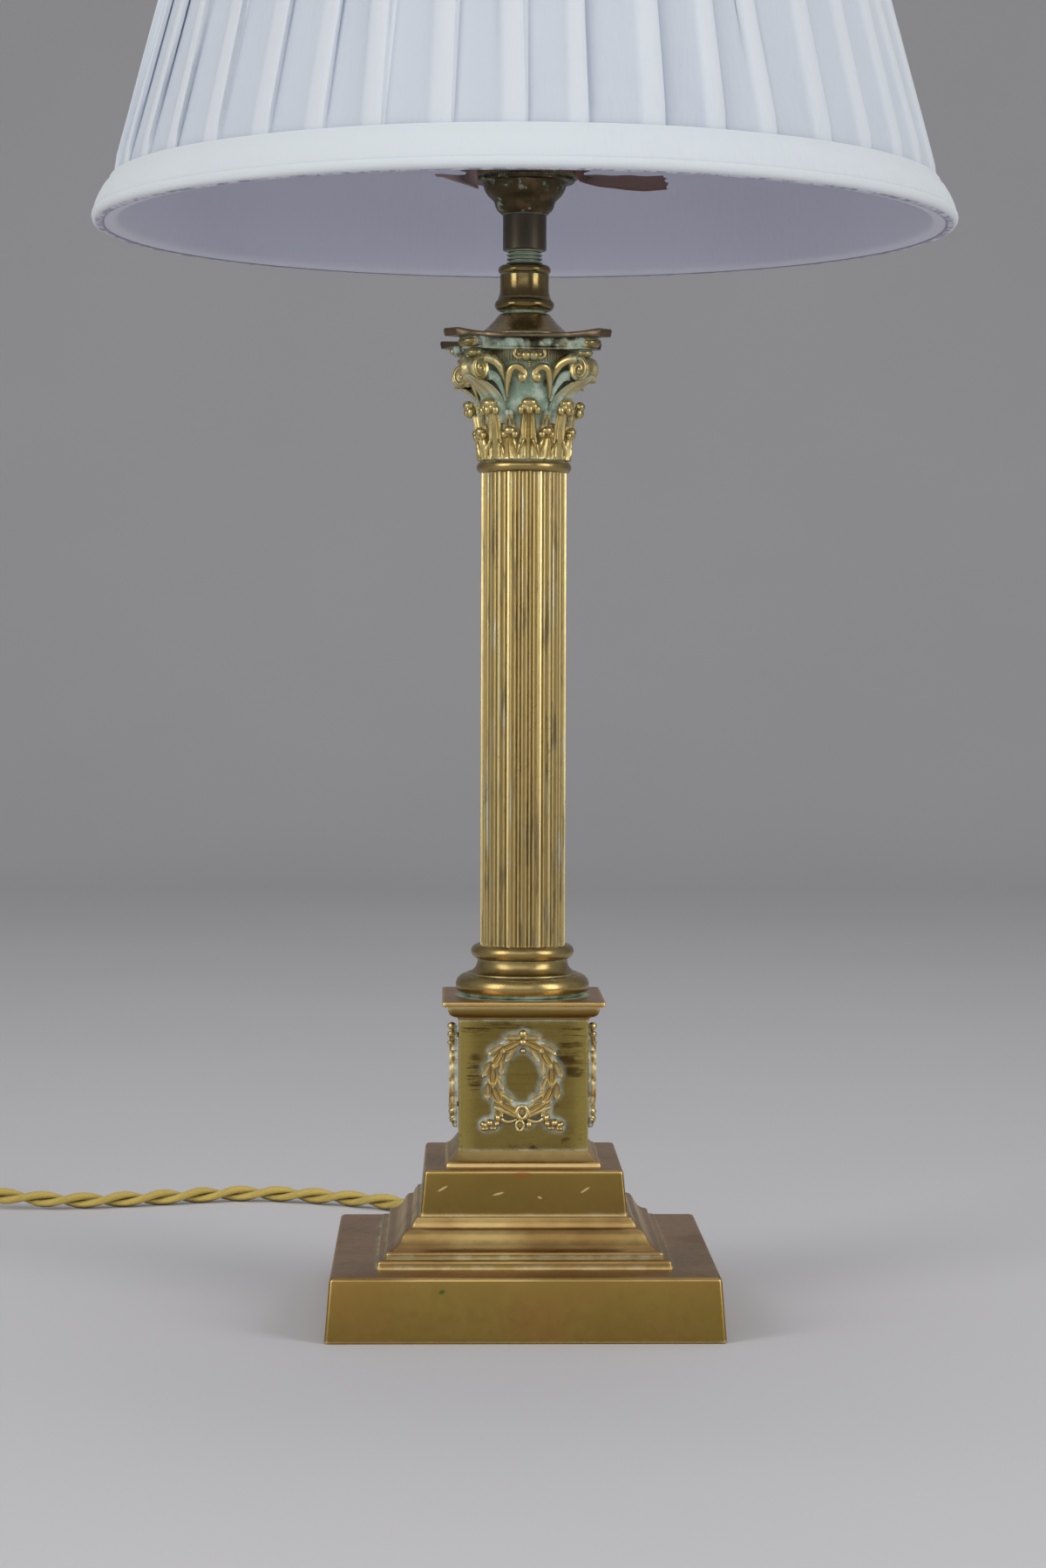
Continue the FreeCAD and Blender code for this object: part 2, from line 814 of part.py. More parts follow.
def ribbon_solids(tall, back):
    """The bow: knot, hanging loop, and a crumpled ribbon to each side."""
    knot = float(size.knot_radius)
    thick = float(size.ribbon_radius)
    reach = float(size.ribbon_half_width)
    low = -tall - knot
    middle = Vector(0, -back - 0.6, -tall)
    solids = [Part.makeSphere(knot, middle)]
    loop = Part.makeTorus(knot * 0.85, thick * 0.75, Vector(0, -back - 0.5, low - knot * 0.35),
                          Vector(0, 1, 0))
    solids.append(loop)
    for side in (-1, 1):
        tail = [Vector(side * a * reach, -back - 0.5, -tall + b * knot)
                for a, b in ((0.05, 0), (0.35, 0.95), (0.62, 0.75), (0.86, 1.7))]
        crumple = [Vector(side * a * reach, -back - 0.7, -tall + b * knot)
                   for a, b in ((0.1, -0.8), (0.3, -1.9), (0.45, -0.7), (0.62, -2.0),
                                (0.78, -0.9), (0.92, -1.9))]
        for points in (tail, crumple):
            for first, second in zip(points, points[1:]):
                run = second - first
                solids.append(Part.makeCylinder(thick, run.Length, first, run))
            for point in points[1:]:
                solids.append(Part.makeSphere(thick, point))
    return solids


def make_wreaths():
    form = wreath_form()
    stand = size.die_width / 2 + size.wreath_stand_off
    level = die_level + size.wreath_level
    pins = []
    for name, turn, x, y in (("front", 0, 0, -1), ("right", 90, 1, 0), ("back", 180, 0, 1),
                             ("left", 270, -1, 0)):
        feature("wreath_" + name, form, across=stand * x, deep=stand * y, up=level, turn=turn)
        inner = size.die_width / 2 - size.die_wall
        for height in wreath_pin_levels():
            head = cylinder(size.wreath_pin_head, 0.8, 0, 0, 0)
            shank = cylinder(size.wreath_pin_radius,
                             size.die_wall + size.wreath_stand_off + 0.8, 0, 0, 0)
            pin = fuse(head, shank)
            out = Vector(x, y, 0)
            across = (inner - 0.8) * x
            deep = (inner - 0.8) * y
            rotation = Rotation(UP, out)
            place(pin, across, deep, die_level + height, rotation.Angle * 180 / math.pi,
                  rotation.Axis)
            pins.append(pin)
    keep("wreath_pins", group(*pins))


# ---------------------------------------------------------------- column

def make_column():
    low_radius = size.lower_torus_height / 2
    low_centre = size.column_base_radius - low_radius
    top_radius = size.upper_torus_height / 2
    top_centre = size.upper_torus_radius - top_radius
    scotia_foot = size.lower_torus_height + size.torus_fillet_height
    scotia_head = size.column_base_height - size.upper_torus_height
    spigot = size.shaft_bore_radius - size.spigot_clearance
    turned("column_base", [
        to(rod_hole, 0),
        to(low_centre, 0),
        arc_to(low_centre, size.lower_torus_height, centre_across=low_centre),
        to(low_centre, scotia_foot),
        arc_to(top_centre, scotia_head, centre_across=low_centre, outward=False),
        arc_to(top_centre, size.column_base_height, centre_across=top_centre),
        to(spigot, size.column_base_height),
        to(spigot, size.column_base_height + size.spigot_height),
        to(rod_hole, size.column_base_height + size.spigot_height),
    ], up=column_base_level)

    shaft = new_body("column_shaft", up=shaft_level)
    sketch = body_sketch(shaft, "XY_Plane", "shaft_ring")
    for radius in (size.shaft_radius, size.shaft_bore_radius):
        number = sketch.addGeometry(Part.Circle(Vector(), UP, radius.number), False)
        sketch.addConstraint(Sketcher.Constraint("Coincident", number, 3, -1, 1))
        place_in_list = sketch.addConstraint(
            Sketcher.Constraint("Radius", number, radius.number))
        sketch.setExpression("Constraints[%d]" % place_in_list, radius.text)
    pad = shaft.newObject("PartDesign::Pad", "shaft_pad")
    pad.Profile = sketch
    bind(pad, Length=size.shaft_height)
    document.recompute()
    whole = shaft.Shape.Volume
    sketch = body_sketch(shaft, "XY_Plane", "flute_round")
    number = sketch.addGeometry(
        Part.Circle(Vector(0, -size.shaft_radius.number, 0), UP, size.flute_radius.number), False)
    sketch.addConstraint(Sketcher.Constraint("PointOnObject", number, 3, -2))
    place_in_list = sketch.addConstraint(
        Sketcher.Constraint("DistanceY", number, 3, -1, 1, size.shaft_radius.number))
    sketch.setExpression("Constraints[%d]" % place_in_list, size.shaft_radius.text)
    place_in_list = sketch.addConstraint(
        Sketcher.Constraint("Radius", number, size.flute_radius.number))
    sketch.setExpression("Constraints[%d]" % place_in_list, size.flute_radius.text)
    flute = shaft.newObject("PartDesign::Pocket", "flute")
    flute.Profile = sketch
    flute.Type = "ThroughAll"
    flute.Reversed = True
    document.recompute()
    one = whole - shaft.Shape.Volume
    flutes = shaft.newObject("PartDesign::PolarPattern", "flutes")
    flutes.Originals = [flute]
    flutes.Axis = (plane_of(shaft, "Z_Axis"), [""])
    flutes.Angle = 360
    bind(flutes, Occurrences=size.flute_count)
    shaft.Tip = flutes
    document.recompute()
    if not one > 1 or not whole - shaft.Shape.Volume > 20 * one:
        raise RuntimeError("the flutes are not cut")

    radius = size.neck_ring_height / 2
    centre = size.neck_ring_radius - radius
    turned("neck_ring", [
        to(size.shaft_bore_radius, 0),
        to(centre, 0),
        arc_to(centre, size.neck_ring_height, centre_across=centre),
        to(size.shaft_bore_radius, size.neck_ring_height),
    ], up=neck_ring_level)


# ---------------------------------------------------------------- capital

def flat_outline(points):
    """A face from points of (across, up), where a third value puts an arc's middle there."""
    edges = []
    last = points[0]
    for point in points[1:] + points[:1]:
        start = Vector(last[0], 0, last[1])
        end = Vector(point[0], 0, point[1])
        if len(point) > 2:
            middle = Vector(point[2][0], 0, point[2][1])
            edges.append(Part.Arc(start, middle, end).toShape())
        else:
            edges.append(Part.LineSegment(start, end).toShape())
        last = point
    return Part.Face(Part.Wire(edges))


def leaf_form(foot, height, reach, width):
    """An acanthus leaf: a side view that curls out, cut to a tongue shape from the front."""
    core = float(size.capital_radius)
    curl = 1.5
    side = flat_outline([
        (core - 3, foot),
        (core + 0.5, foot),
        (core + 0.9, height - 7),
        (reach - 0.4, height - 2 * curl, (core + 1.2, height - 3.4)),
        (reach - 0.4, height - 0.1, (reach, height - curl)),
        (core - 3, height - 0.6),
    ])
    side.translate(Vector(0, width, 0))
    solid = side.extrude(Vector(0, -2 * width, 0))
    half = width / 2
    front = flat_outline([
        (-half, foot),
        (half, foot),
        (half * 0.92, height - half),
        (-half * 0.92, height - half, (0, height + 0.2)),
    ])
    front.rotate(Vector(), UP, 90)
    tongue = front.extrude(Vector(60, 0, 0))
    return solid.common(tongue)


def volute_form():
    """A corner volute: a rising stalk that ends in a round scroll under the abacus."""
    radius = float(size.volute_radius)
    width = float(size.volute_width)
    middle = float(size.volute_reach) - radius
    level = float(size.volute_level)
    core = float(size.capital_radius)
    stalk = flat_outline([
        (core - 3, level - 15),
        (core + 1.2, level - 13),
        (middle - radius * 0.5, level - radius * 0.8, (core + 4.4, level - 7.5)),
        (middle, level + radius),
        (core - 1, level + radius * 0.9),
    ])
    stalk.translate(Vector(0, width / 2, 0))
    solid = stalk.extrude(Vector(0, -width, 0))
    scroll = Part.makeCylinder(radius, width, Vector(middle, -width / 2, level),
                               Vector(0, 1, 0))
    eye = Part.makeCylinder(radius * 0.35, width + 1.2, Vector(middle, -width / 2 - 0.6, level),
                            Vector(0, 1, 0))
    return solid.fuse([scroll, eye])


def abacus_face(reach, corner, waist):
    """A square with hollowed sides and cut corners, in the XY plane."""
    corners = []
    for quarter in range(4):
        for side in (-1, 1):
            point = Vector(reach, side * corner / 2, 0)
            corners.append(Rotation(UP, 45 + 90 * quarter).multVec(point))
    edges = []
    for index, start in enumerate(corners):
        end = corners[(index + 1) % len(corners)]
        if index % 2:
            hollow = (start + end)
            hollow = hollow * (waist / hollow.Length)
            edges.append(Part.Arc(start, hollow, end).toShape())
        else:
            edges.append(Part.LineSegment(start, end).toShape())
    return Part.Face(Part.Wire(edges))


def capital_form():
    core = float(size.capital_radius)
    height = float(size.capital_height)
    lip = float(size.capital_lip_radius)
    plate = float(size.capital_abacus_height)
    bell = flat_outline([
        (float(rod_hole), 0),
        (core, 0),
        (core, height * 0.45),
        (lip, height - plate, (core + 0.8, height * 0.72)),
        (float(rod_hole), height - plate),
    ]).revolve(Vector(), UP, 360)
    solids = []
    leaves = (
        (0, float(size.low_leaf_height), float(size.low_leaf_reach), 22.5),
        (1, float(size.middle_leaf_height), float(size.middle_leaf_reach), 0),
    )
    for row, top, reach, start in leaves:
        leaf = leaf_form(0.4, top, reach, float(size.leaf_width) - row)
        for step in range(8):
            turned_leaf = leaf.copy()
            turned_leaf.rotate(Vector(), UP, start + 45 * step)
            solids.append(turned_leaf)
    volute = volute_form()
    scroll = float(size.scroll_radius)
    scroll_face = lip + 1.0
    for quarter in range(4):
        corner = volute.copy()
        corner.rotate(Vector(), UP, 45 + 90 * quarter)
        solids.append(corner)
        small = []
        for side in (-1, 1):
            at = Vector(side * float(size.scroll_spacing) / 2, -scroll_face,
                        float(size.scroll_level))
            small.append(Part.makeCylinder(scroll, 6, at, Vector(0, 1, 0)))
        small.append(Part.makeSphere(float(size.bud_radius),
                                     Vector(0, -scroll_face - 0.3, float(size.bud_level))))
        small.append(Part.makeCylinder(float(size.bud_radius) * 0.6, 6,
                                       Vector(0, -scroll_face, float(size.bud_level)),
                                       Vector(0, 1, 0)))
        for solid in small:
            solid.rotate(Vector(), UP, 90 * quarter)
            solids.append(solid)
    abacus = abacus_face(float(size.capital_abacus_reach), float(size.capital_abacus_corner),
                         float(size.capital_abacus_waist)).extrude(Vector(0, 0, plate))
    abacus.translate(Vector(0, 0, height - plate))
    solids.append(abacus)
    form = bell.multiFuse(solids)
    return form.cut(Part.makeCylinder(float(rod_hole), height)).removeSplitter()


def make_capital():
    feature("capital", capital_form(), up=capital_level, turn=size.capital_turn)


# ---------------------------------------------------------------- neck, collar and tie rod

def make_neck():
    plate = document.addObject("Part::Extrusion", "abacus_sheet")
    outline = document.addObject("Part::Feature", "abacus_outline")
    outline.Shape = abacus_face(float(size.abacus_reach), float(size.abacus_corner),
                                float(size.abacus_waist))
    plate.Base = outline
    plate.DirMode = "Custom"
    plate.Dir = UP
    plate.Solid = True
    bind(plate, LengthFwd=size.abacus_height)
    keep("abacus_plate", place(cut(plate, cylinder(rod_hole, size.abacus_height)),
                               up=abacus_level))

    top = size.trumpet_height + size.trumpet_neck_height
    turned("top_trumpet", [
        to(rod_hole, 0),
        to(size.trumpet_radius, 0),
        to(size.trumpet_radius, size.trumpet_edge),
        arc_to(size.trumpet_top_radius, size.trumpet_height, centre_up=size.trumpet_height,
               outward=False),
        to(size.trumpet_neck_radius, size.trumpet_height),
        to(size.trumpet_neck_radius, top),
        to(rod_hole, top),
    ], up=trumpet_level)

    low_bead = size.collar_low_bead_height / 2
    low_centre = size.collar_low_bead_radius - low_bead
    top_bead = size.collar_top_bead_height / 2
    top_centre = size.collar_top_bead_radius - top_bead
    waist_foot = size.collar_low_bead_height + 0.9
    waist_head = size.collar_height - size.collar_top_bead_height - 0.9
    rod_thread = size.rod_radius + size.thread_clearance
    nipple_thread = size.nipple_radius + size.thread_clearance
    turned("top_collar", [
        to(rod_thread, 0),
        to(low_centre, 0),
        arc_to(low_centre, size.collar_low_bead_height, centre_across=low_centre),
        to(size.collar_waist_radius + 0.9, waist_foot),
        arc_to(size.collar_waist_radius, waist_head,
               centre_up=waist_head + 1.5, outward=False),
        to(top_centre, size.collar_height - size.collar_top_bead_height),
        arc_to(top_centre, size.collar_height, centre_across=top_centre),
        to(nipple_thread, size.collar_height),
        to(nipple_thread, size.collar_height - size.collar_thread_depth),
        to(rod_thread, size.collar_height - size.collar_thread_depth),
    ], up=collar_level)

    nipple_level = thread_level - size.collar_thread_depth
    nipple_height = size.collar_thread_depth + size.nipple_shown + size.nipple_engagement
    turned("holder_nipple", [
        to(rod_thread, 0),
        to(size.nipple_radius, 0),
        to(size.nipple_radius, nipple_height),
        to(rod_thread, nipple_height),
    ], up=nipple_level)

    rod_foot = foot_level - size.rod_foot_depth
    rod_height = nipple_level + nipple_height / 2 - rod_foot
    turned("tie_rod", [
        to(size.rod_bore_radius, 0),
        to(size.rod_radius, 0),
        to(size.rod_radius, rod_height),
        to(size.rod_bore_radius, rod_height),
    ], up=rod_foot)

    washer_level = foot_level - size.block_roof - size.clamp_washer_thickness
    washer = cylinder(size.clamp_washer_radius, size.clamp_washer_thickness)
    keep("clamp_washer", place(cut(washer, cylinder(rod_hole, size.clamp_washer_thickness)),
                               up=washer_level))
    nut = document.addObject("Part::Prism", "nut_blank")
    nut.Polygon = 6
    bind(nut, Circumradius=size.clamp_nut_flats * 0.57735, Height=size.clamp_nut_height)
    hole = cylinder(size.rod_radius + size.thread_clearance, size.clamp_nut_height)
    keep("clamp_nut", place(cut(nut, hole), up=washer_level - size.clamp_nut_height))


# ---------------------------------------------------------------- lampholder

def make_holder():
    nipple_thread = size.nipple_radius + size.thread_clearance
    turned("holder_sleeve", [
        to(nipple_thread, 0),
        to(size.sleeve_radius, 0),
        to(size.sleeve_radius, size.sleeve_height),
        to(rod_hole, size.sleeve_height),
        to(rod_hole, size.nipple_engagement + 1),
        to(nipple_thread, size.nipple_engagement + 1),
    ], up=sleeve_level)

    wall = size.dome_wall
    flange_foot = size.dome_height - size.dome_flange_height
    shell_thread = size.shell_radius + size.thread_clearance
    seat = size.dome_height - size.dome_seat_depth
    turned("holder_dome", [
        to(rod_hole, 0),
        to(size.dome_neck_radius, 0),
        arc_to(size.dome_waist_radius, size.dome_waist_height,
               centre_up=size.dome_waist_height + 0.6),
        arc_to(size.dome_shoulder_radius, flange_foot - 0.8,
               centre_up=size.dome_waist_height, outward=False),
        to(size.dome_flange_radius, flange_foot),
        to(size.dome_flange_radius, size.dome_height),
        to(shell_thread, size.dome_height),
        to(shell_thread, seat),
        to(size.shell_bore_radius, seat),
        to(size.dome_waist_radius - wall, size.dome_waist_height),
        to(size.dome_neck_radius - wall, wall),
        to(rod_hole, wall),
    ], up=dome_level)

    for label, level in (("shade_ring_lower", ring_level), ("shade_ring_upper",
                                                           upper_ring_level)):
        inner = size.shell_radius + size.running_clearance
        turned(label, [
            to(inner, 0),
            to(size.shade_ring_radius - 0.5, 0),
            to(size.shade_ring_radius, 0.5),
            to(size.shade_ring_radius, size.shade_ring_height - 0.5),
            to(size.shade_ring_radius - 0.5, size.shade_ring_height),
            to(inner, size.shade_ring_height),
        ], up=level)

    washer = cylinder(size.slip_washer_radius, size.slip_washer_thickness)
    hole = cylinder(size.shell_radius + size.running_clearance, size.slip_washer_thickness)
    keep("slip_washer", place(cut(washer, hole), up=slip_washer_level))
    make_shell()
    make_insulator()


def make_shell():
    """The tube that takes the bulb: two slots run down and then turn under the cap's pins."""
    shell_level = dome_level + size.dome_height - size.dome_seat_depth
    pin_height = bulb_level() + size.bulb_pin_level - shell_level
    slot_half = size.bulb_pin_radius + size.running_clearance * 2
    leg_foot = pin_height - slot_half - size.plunger_stroke
    leg_height = slot_half * 2 + size.plunger_stroke
    tube = cut(cylinder(size.shell_radius, size.shell_height),
               cylinder(size.shell_bore_radius, size.shell_height))
    tools = []
    spare = 7.0
    for side in (0, 180):
        leg = cylinder(size.shell_radius + 1, leg_height, 0, 0, leg_foot, side - spare)
        bind(leg, Angle=size.bulb_turn_angle + 2 * spare)
        tools.append(leg)
        way = box(size.shell_radius + 1, slot_half * 2, size.shell_height - leg_foot,
                  0, -slot_half, 0, centred=False)
        tools.append(place(group(way), up=leg_foot, turn=size.bulb_turn_angle + side))
    keep("holder_shell", place(cut(tube, *tools), up=shell_level))


def bulb_level():
    """Height of the cap's contact face, just above the plungers at rest."""
    return plunger_level() + size.plunger_length + size.running_clearance


def plunger_level():
    return ring_level + 6.0


def make_insulator():
    half = size.terminal_spacing / 2
    block_level_up = ring_level - size.dome_seat_depth
    bore = size.plunger_radius + size.running_clearance
    spring_foot = block_level_up + 2.2
    ways = [cylinder(bore, size.block_body_height, half * side, 0, 2.2) for side in (-1, 1)]
    body = cylinder(size.shell_bore_radius - size.thread_clearance, size.block_body_height)
    keep("insulator_block", place(cut(body, *ways), up=block_level_up))

    posts = []
    for side in (-1, 1):
        post = cylinder(size.terminal_radius, size.terminal_height, half * side, 0,
                        -size.terminal_height)
        screw = cylinder(size.terminal_screw_radius, size.terminal_radius * 2 + 1.6,
                         half * side, -size.terminal_radius - 1.6,
                         -size.terminal_height / 2, -90, Vector(1, 0, 0))
        posts.append(fuse(post, screw))
    keep("terminals", place(group(*posts), up=block_level_up))

    plungers = [cylinder(size.plunger_radius, size.plunger_length, half * side, 0, 0)
                for side in (-1, 1)]
    keep("contact_plungers", place(group(*plungers), up=plunger_level()))

    room = float(plunger_level() - spring_foot) - 0.4
    springs = []
    for side in (-1, 1):
        spring = spring_form(room)
        spring.translate(Vector(float(half) * side, 0, 0))
        springs.append(spring)
    feature("plunger_springs", Part.Compound(springs), up=spring_foot + 0.2)


def spring_form(room):
    """An open coil spring, cut from one wire on biarcs."""
    radius = float(size.spring_radius)
    wire = float(size.spring_wire)
    turns = int(float(size.spring_turns))
    rise = (room - wire) / turns

    def at(turn):
        angle = 2 * math.pi * turn
        return Vector(radius * math.cos(angle), radius * math.sin(angle),
                      wire / 2 + rise * turn)

    return wound_tube(at, turns, wire)[0]


# ---------------------------------------------------------------- tubes and coils

def arc_from(start, tangent, end):
    """The arc that leaves start along tangent and reaches end."""
    chord = end - start
    along = Vector(chord).normalize()
    bisector = (tangent + along).normalize()
    half_turn = tangent.getAngle(along)
    middle = start + bisector * (chord.Length / 2 / math.cos(half_turn / 2))
    return Part.Arc(start, middle, end).toShape()


def biarc(start, start_way, end, end_way):
    """Two arcs that join two points with the given directions."""
    chord = end - start
    ways = start_way + end_way
    spread = 2 * (1 - start_way.dot(end_way))
    slope = chord.dot(ways)
    reach = (math.sqrt(slope ** 2 + spread * chord.dot(chord)) - slope) / spread
    joint = (start + end + (start_way - end_way) * reach) * 0.5
    joint_way = (joint - start - start_way * reach).normalize()
    return [arc_from(start, start_way, joint), arc_from(joint, joint_way, end)]


def wound_tube(at, turns, diameter, step=0.25):
    """One tube along a curve of turns, on biarcs of a quarter turn. Gives its wire as well."""
    small = 1e-4
    count = int(round(turns / step))
    points = [at(step * index) for index in range(count + 1)]
    ways = []
    for index in range(count + 1):
        low = max(step * index - small, 0)
        high = min(step * index + small, turns)
        ways.append((at(high) - at(low)).normalize())
    edges = []
    for index in range(count):
        edges += biarc(points[index], ways[index], points[index + 1], ways[index + 1])
    path = Part.Wire(edges)
    ring = Part.Wire(Part.Circle(points[0], ways[0], diameter / 2).toShape())
    return path.makePipeShell([ring], True, False), path


def rounded_route(label, points):
    """Straight runs joined by tangent arcs, each as large as its two runs allow."""
    points = [Vector(*point) for point in points]
    edges = []
    radii = []
    start = points[0]
    for before, corner, after in zip(points, points[1:], points[2:]):
        back = before - corner
        ahead = after - corner
        reach = ARC_SHARE * min(back.Length, ahead.Length)
        back.normalize()
        ahead.normalize()
        turn = math.pi - back.getAngle(ahead)
        radius = reach / math.tan(turn / 2)
        radii.append(radius)
        bisector = (back + ahead).normalize()
        middle = corner + bisector * (math.hypot(radius, reach) - radius)
        first = corner + back * reach
        last = corner + ahead * reach
        edges.append(Part.LineSegment(start, first).toShape())
        edges.append(Part.Arc(first, middle, last).toShape())
        start = last
    edges.append(Part.LineSegment(start, points[-1]).toShape())
    print("%s: arc radii in cord diameters %s" % (
        label, " ".join("%.1f" % (radius / float(size.cord_diameter)) for radius in radii)))
    return Part.Wire(edges)


def tube(path, diameter):
    """A round tube along a wire, whose volume is checked against section times length."""
    first = path.Edges[0]
    start = first.valueAt(first.FirstParameter)
    way = first.tangentAt(first.FirstParameter)
    ring = Part.Wire(Part.Circle(start, way, diameter / 2).toShape())
    solid = path.makePipeShell([ring], True, False)
    wanted = math.pi * diameter ** 2 / 4 * path.Length
    if abs(solid.Volume / wanted - 1) > 0.002:
        raise RuntimeError("a tube's volume is off: %.1f for %.1f" % (solid.Volume, wanted))
    return solid


def coil_point(turn):
    """A point of the put-away coil: in along the floor, up a layer, and out again on top."""
    layer = float(size.coil_turns_a_layer)
    pitch = float(size.coil_pitch)
    reverse = layer + 0.25
    radius = float(size.coil_radius) - pitch * (reverse - abs(turn - reverse))
    low = float(size.cord_diameter) / 2
    climb = min(max((turn - layer) / 0.5, 0.0), 1.0)
    height = low + pitch * climb ** 2 * (3 - 2 * climb)
    angle = math.pi + 2 * math.pi * turn
    return Vector(COIL_CENTRE[0] + radius * math.cos(angle),
                  COIL_CENTRE[1] + radius * math.sin(angle), height)


def least_gap(path, diameter, spacing=4.0):
    """The least gap of a wound tube to itself, measured on points along its middle line."""
    count = int(path.Length / spacing)
    points = path.discretize(Number=count)
    apart = int(2.5 * diameter / spacing) + 2
    least = 1e9
    for index, point in enumerate(points):
        for other in points[index + apart:]:
            least = min(least, (point - other).Length)
    return least - diameter


def make_cord():
    diameter = float(size.cord_diameter)
    total = 0.0
    for label, route in (("cord_run", RUN_ROUTE), ("cord_lead", LEAD_ROUTE),
                         ("cord_tail", TAIL_ROUTE)):
        path = rounded_route(label, route)
        total += path.Length
        feature(label, tube(path, diameter))
    turns = 2 * float(size.coil_turns_a_layer) + 0.5
    solid, path = wound_tube(coil_point, turns, diameter)
    total += path.Length
    feature("cord_coil", solid)
    print("cord_coil: least gap %.2f mm, length %.0f mm" % (least_gap(path, diameter),
                                                          path.Length))
    print("free cord in all: %.0f mm" % total)


def make_inner_flex():
    """The flex inside: up from the gland through the tie rod, then two cores to the terminals."""
    diameter = float(size.cord_diameter)
    bend = float(size.flex_bend_radius)
    level = float(size.cord_exit_level)
    top = float(dome_level) + float(size.dome_wall)
    corner = Vector(0, bend, level)
    start = Vector(*RUN_ROUTE[0])
    low = Vector(0, 0, level + bend)
    middle = Vector(0, bend - bend * math.sqrt(0.5), level + bend - bend * math.sqrt(0.5))
    path = Part.Wire([
        Part.LineSegment(start, corner).toShape(),
        Part.Arc(corner, middle, low).toShape(),
        Part.LineSegment(low, Vector(0, 0, top)).toShape(),
    ])
    solids = [tube(path, diameter)]
    post_foot = float(ring_level) - float(size.dome_seat_depth) - float(size.terminal_height)
    core = diameter / 4
    for side in (-1, 1):
        first = Vector(side * core, 0, top - 2)
        last = Vector(side * float(size.terminal_spacing) / 2, 0, post_foot + 2)
        run = last - first
        strand = Part.makeCylinder(core * 0.8, run.Length, first, run)
        space = Part.makeBox(30, 30, post_foot - top, Vector(-15, -15, top))
        solids.append(strand.common(space))
    feature("inner_flex", Part.Compound(solids))


def make_gland():
    flange_place = half_plinth - size.plinth_draft
    inner_face = half_plinth - size.plinth_draft - size.plinth_wall
    bore = size.cord_diameter / 2 + size.running_clearance
    flange = size.gland_flange_thickness
    depth = flange_place - inner_face + size.gland_nut_thickness
    turned("cord_gland", [
        to(bore, -depth),
        to(size.gland_neck_radius, -depth),
        to(size.gland_neck_radius, 0),
        to(size.gland_flange_radius, 0),
        to(size.gland_flange_radius, flange),
        to(size.gland_neck_radius + 0.6, flange),
        to(size.gland_tip_radius, size.gland_length),
        to(bore, size.gland_length),
    ], deep=flange_place, up=size.cord_exit_level, turn=-90, axis=Vector(1, 0, 0))
    thick = size.gland_nut_thickness
    hole = cylinder(size.gland_neck_radius + size.thread_clearance, thick)
    nut = cut(cylinder(size.gland_flange_radius - 0.4, thick), hole)
    keep("gland_nut", place(nut, deep=inner_face - thick, up=size.cord_exit_level, turn=-90,
                            axis=Vector(1, 0, 0)))

    bore = size.cord_diameter / 2 + size.running_clearance
    outer = bore + size.clip_wall
    width = size.clip_width
    roof = size.plinth_height - size.plinth_roof
    strap = cylinder(outer, width, 0, size.clip_place - width / 2, size.cord_exit_level, -90,
                     Vector(1, 0, 0))
    post_height = roof - size.cord_exit_level
    post = box(outer * 2, width, post_height, 0, size.clip_place, size.cord_exit_level)
    way = cylinder(bore, width * 2, 0, size.clip_place - width, size.cord_exit_level, -90,
                   Vector(1, 0, 0))
    keep("cord_clip", cut(fuse(strap, post), way))


# ---------------------------------------------------------------- switch on the flex

def chamfered(length, width, corner):
    """The right half of a rectangle with cut corners."""
    half, side = length / 2, width / 2
    return [to(half - corner, -side), to(half, corner - side), to(half, side - corner),
            to(half - corner, side)]


def make_switch():
    first = Vector(*RUN_ROUTE[-1])
    deep = first.y
    across = as_size(first.x) - size.switch_length / 2
    wall = size.switch_wall
    tall = size.switch_half_height
    long_side, wide = size.switch_length, size.switch_width
    room = (long_side - 2 * size.switch_corner - 2 * wall, wide - 2 * wall - 2)
    base = padded_outline("switch_base", chamfered(long_side, wide, size.switch_corner), tall,
                          across=across, deep=deep)
    pocket_outline(base, rectangle(*room), tall - wall, "switch_base_room", level=tall)
    cover = padded_outline("switch_cover", chamfered(long_side, wide, size.switch_corner), tall,
                           across=across, deep=deep, up=tall)
    pocket_outline(cover, rectangle(*room), tall - wall, "switch_cover_room", upward=True)
    pocket_outline(cover, rectangle(size.switch_slot_length, size.switch_slot_width),
                   wall * 2, "switch_slot", level=tall + wall / 2)
    pin_hole = cylinder(size.rocker_pin_radius + size.thread_clearance, wide + 2,
                        across, deep - wide / 2 - 1, tall + size.rocker_pin_level, -90,
                        Vector(1, 0, 0))
    nodes.pop("switch_cover")
    cover.Label = "switch_cover_blank"
    keep("switch_cover", cut(cover, pin_hole))
    keep("switch_pivot", cylinder(size.rocker_pin_radius, wide - 2, across,
                                  deep - wide / 2 + 1, tall + size.rocker_pin_level, -90,
                                  Vector(1, 0, 0)))

    thick = size.switch_slot_width - 2 * size.rocker_side_gap
    half = size.rocker_half_length
    rocker = document.addObject("Sketcher::SketchObject", "rocker_outline")
    rocker.Placement = Placement(Vector(), Rotation(Vector(1, 0, 0), 90))
    draw(rocker, [to(2.6, -2.4), to(half, 2.4), to(half, 4.6), to(0.4, 3.6)], mirrored=True)
    slab = document.addObject("Part::Extrusion", "rocker_slab")
    slab.Base = rocker
    slab.DirMode = "Custom"
    slab.Dir = Vector(0, 1, 0)
    slab.Solid = True
    slab.Symmetric = True
    bind(slab, LengthFwd=thick)
    hole = cylinder(size.rocker_pin_radius + size.running_clearance, thick + 2, 0,
                    -thick / 2 - 1, 0, -90, Vector(1, 0, 0))
    keep("switch_rocker", place(cut(slab, hole), across, deep, tall + size.rocker_pin_level,
                                size.rocker_tilt, Vector(0, 1, 0)))


# ---------------------------------------------------------------- plug

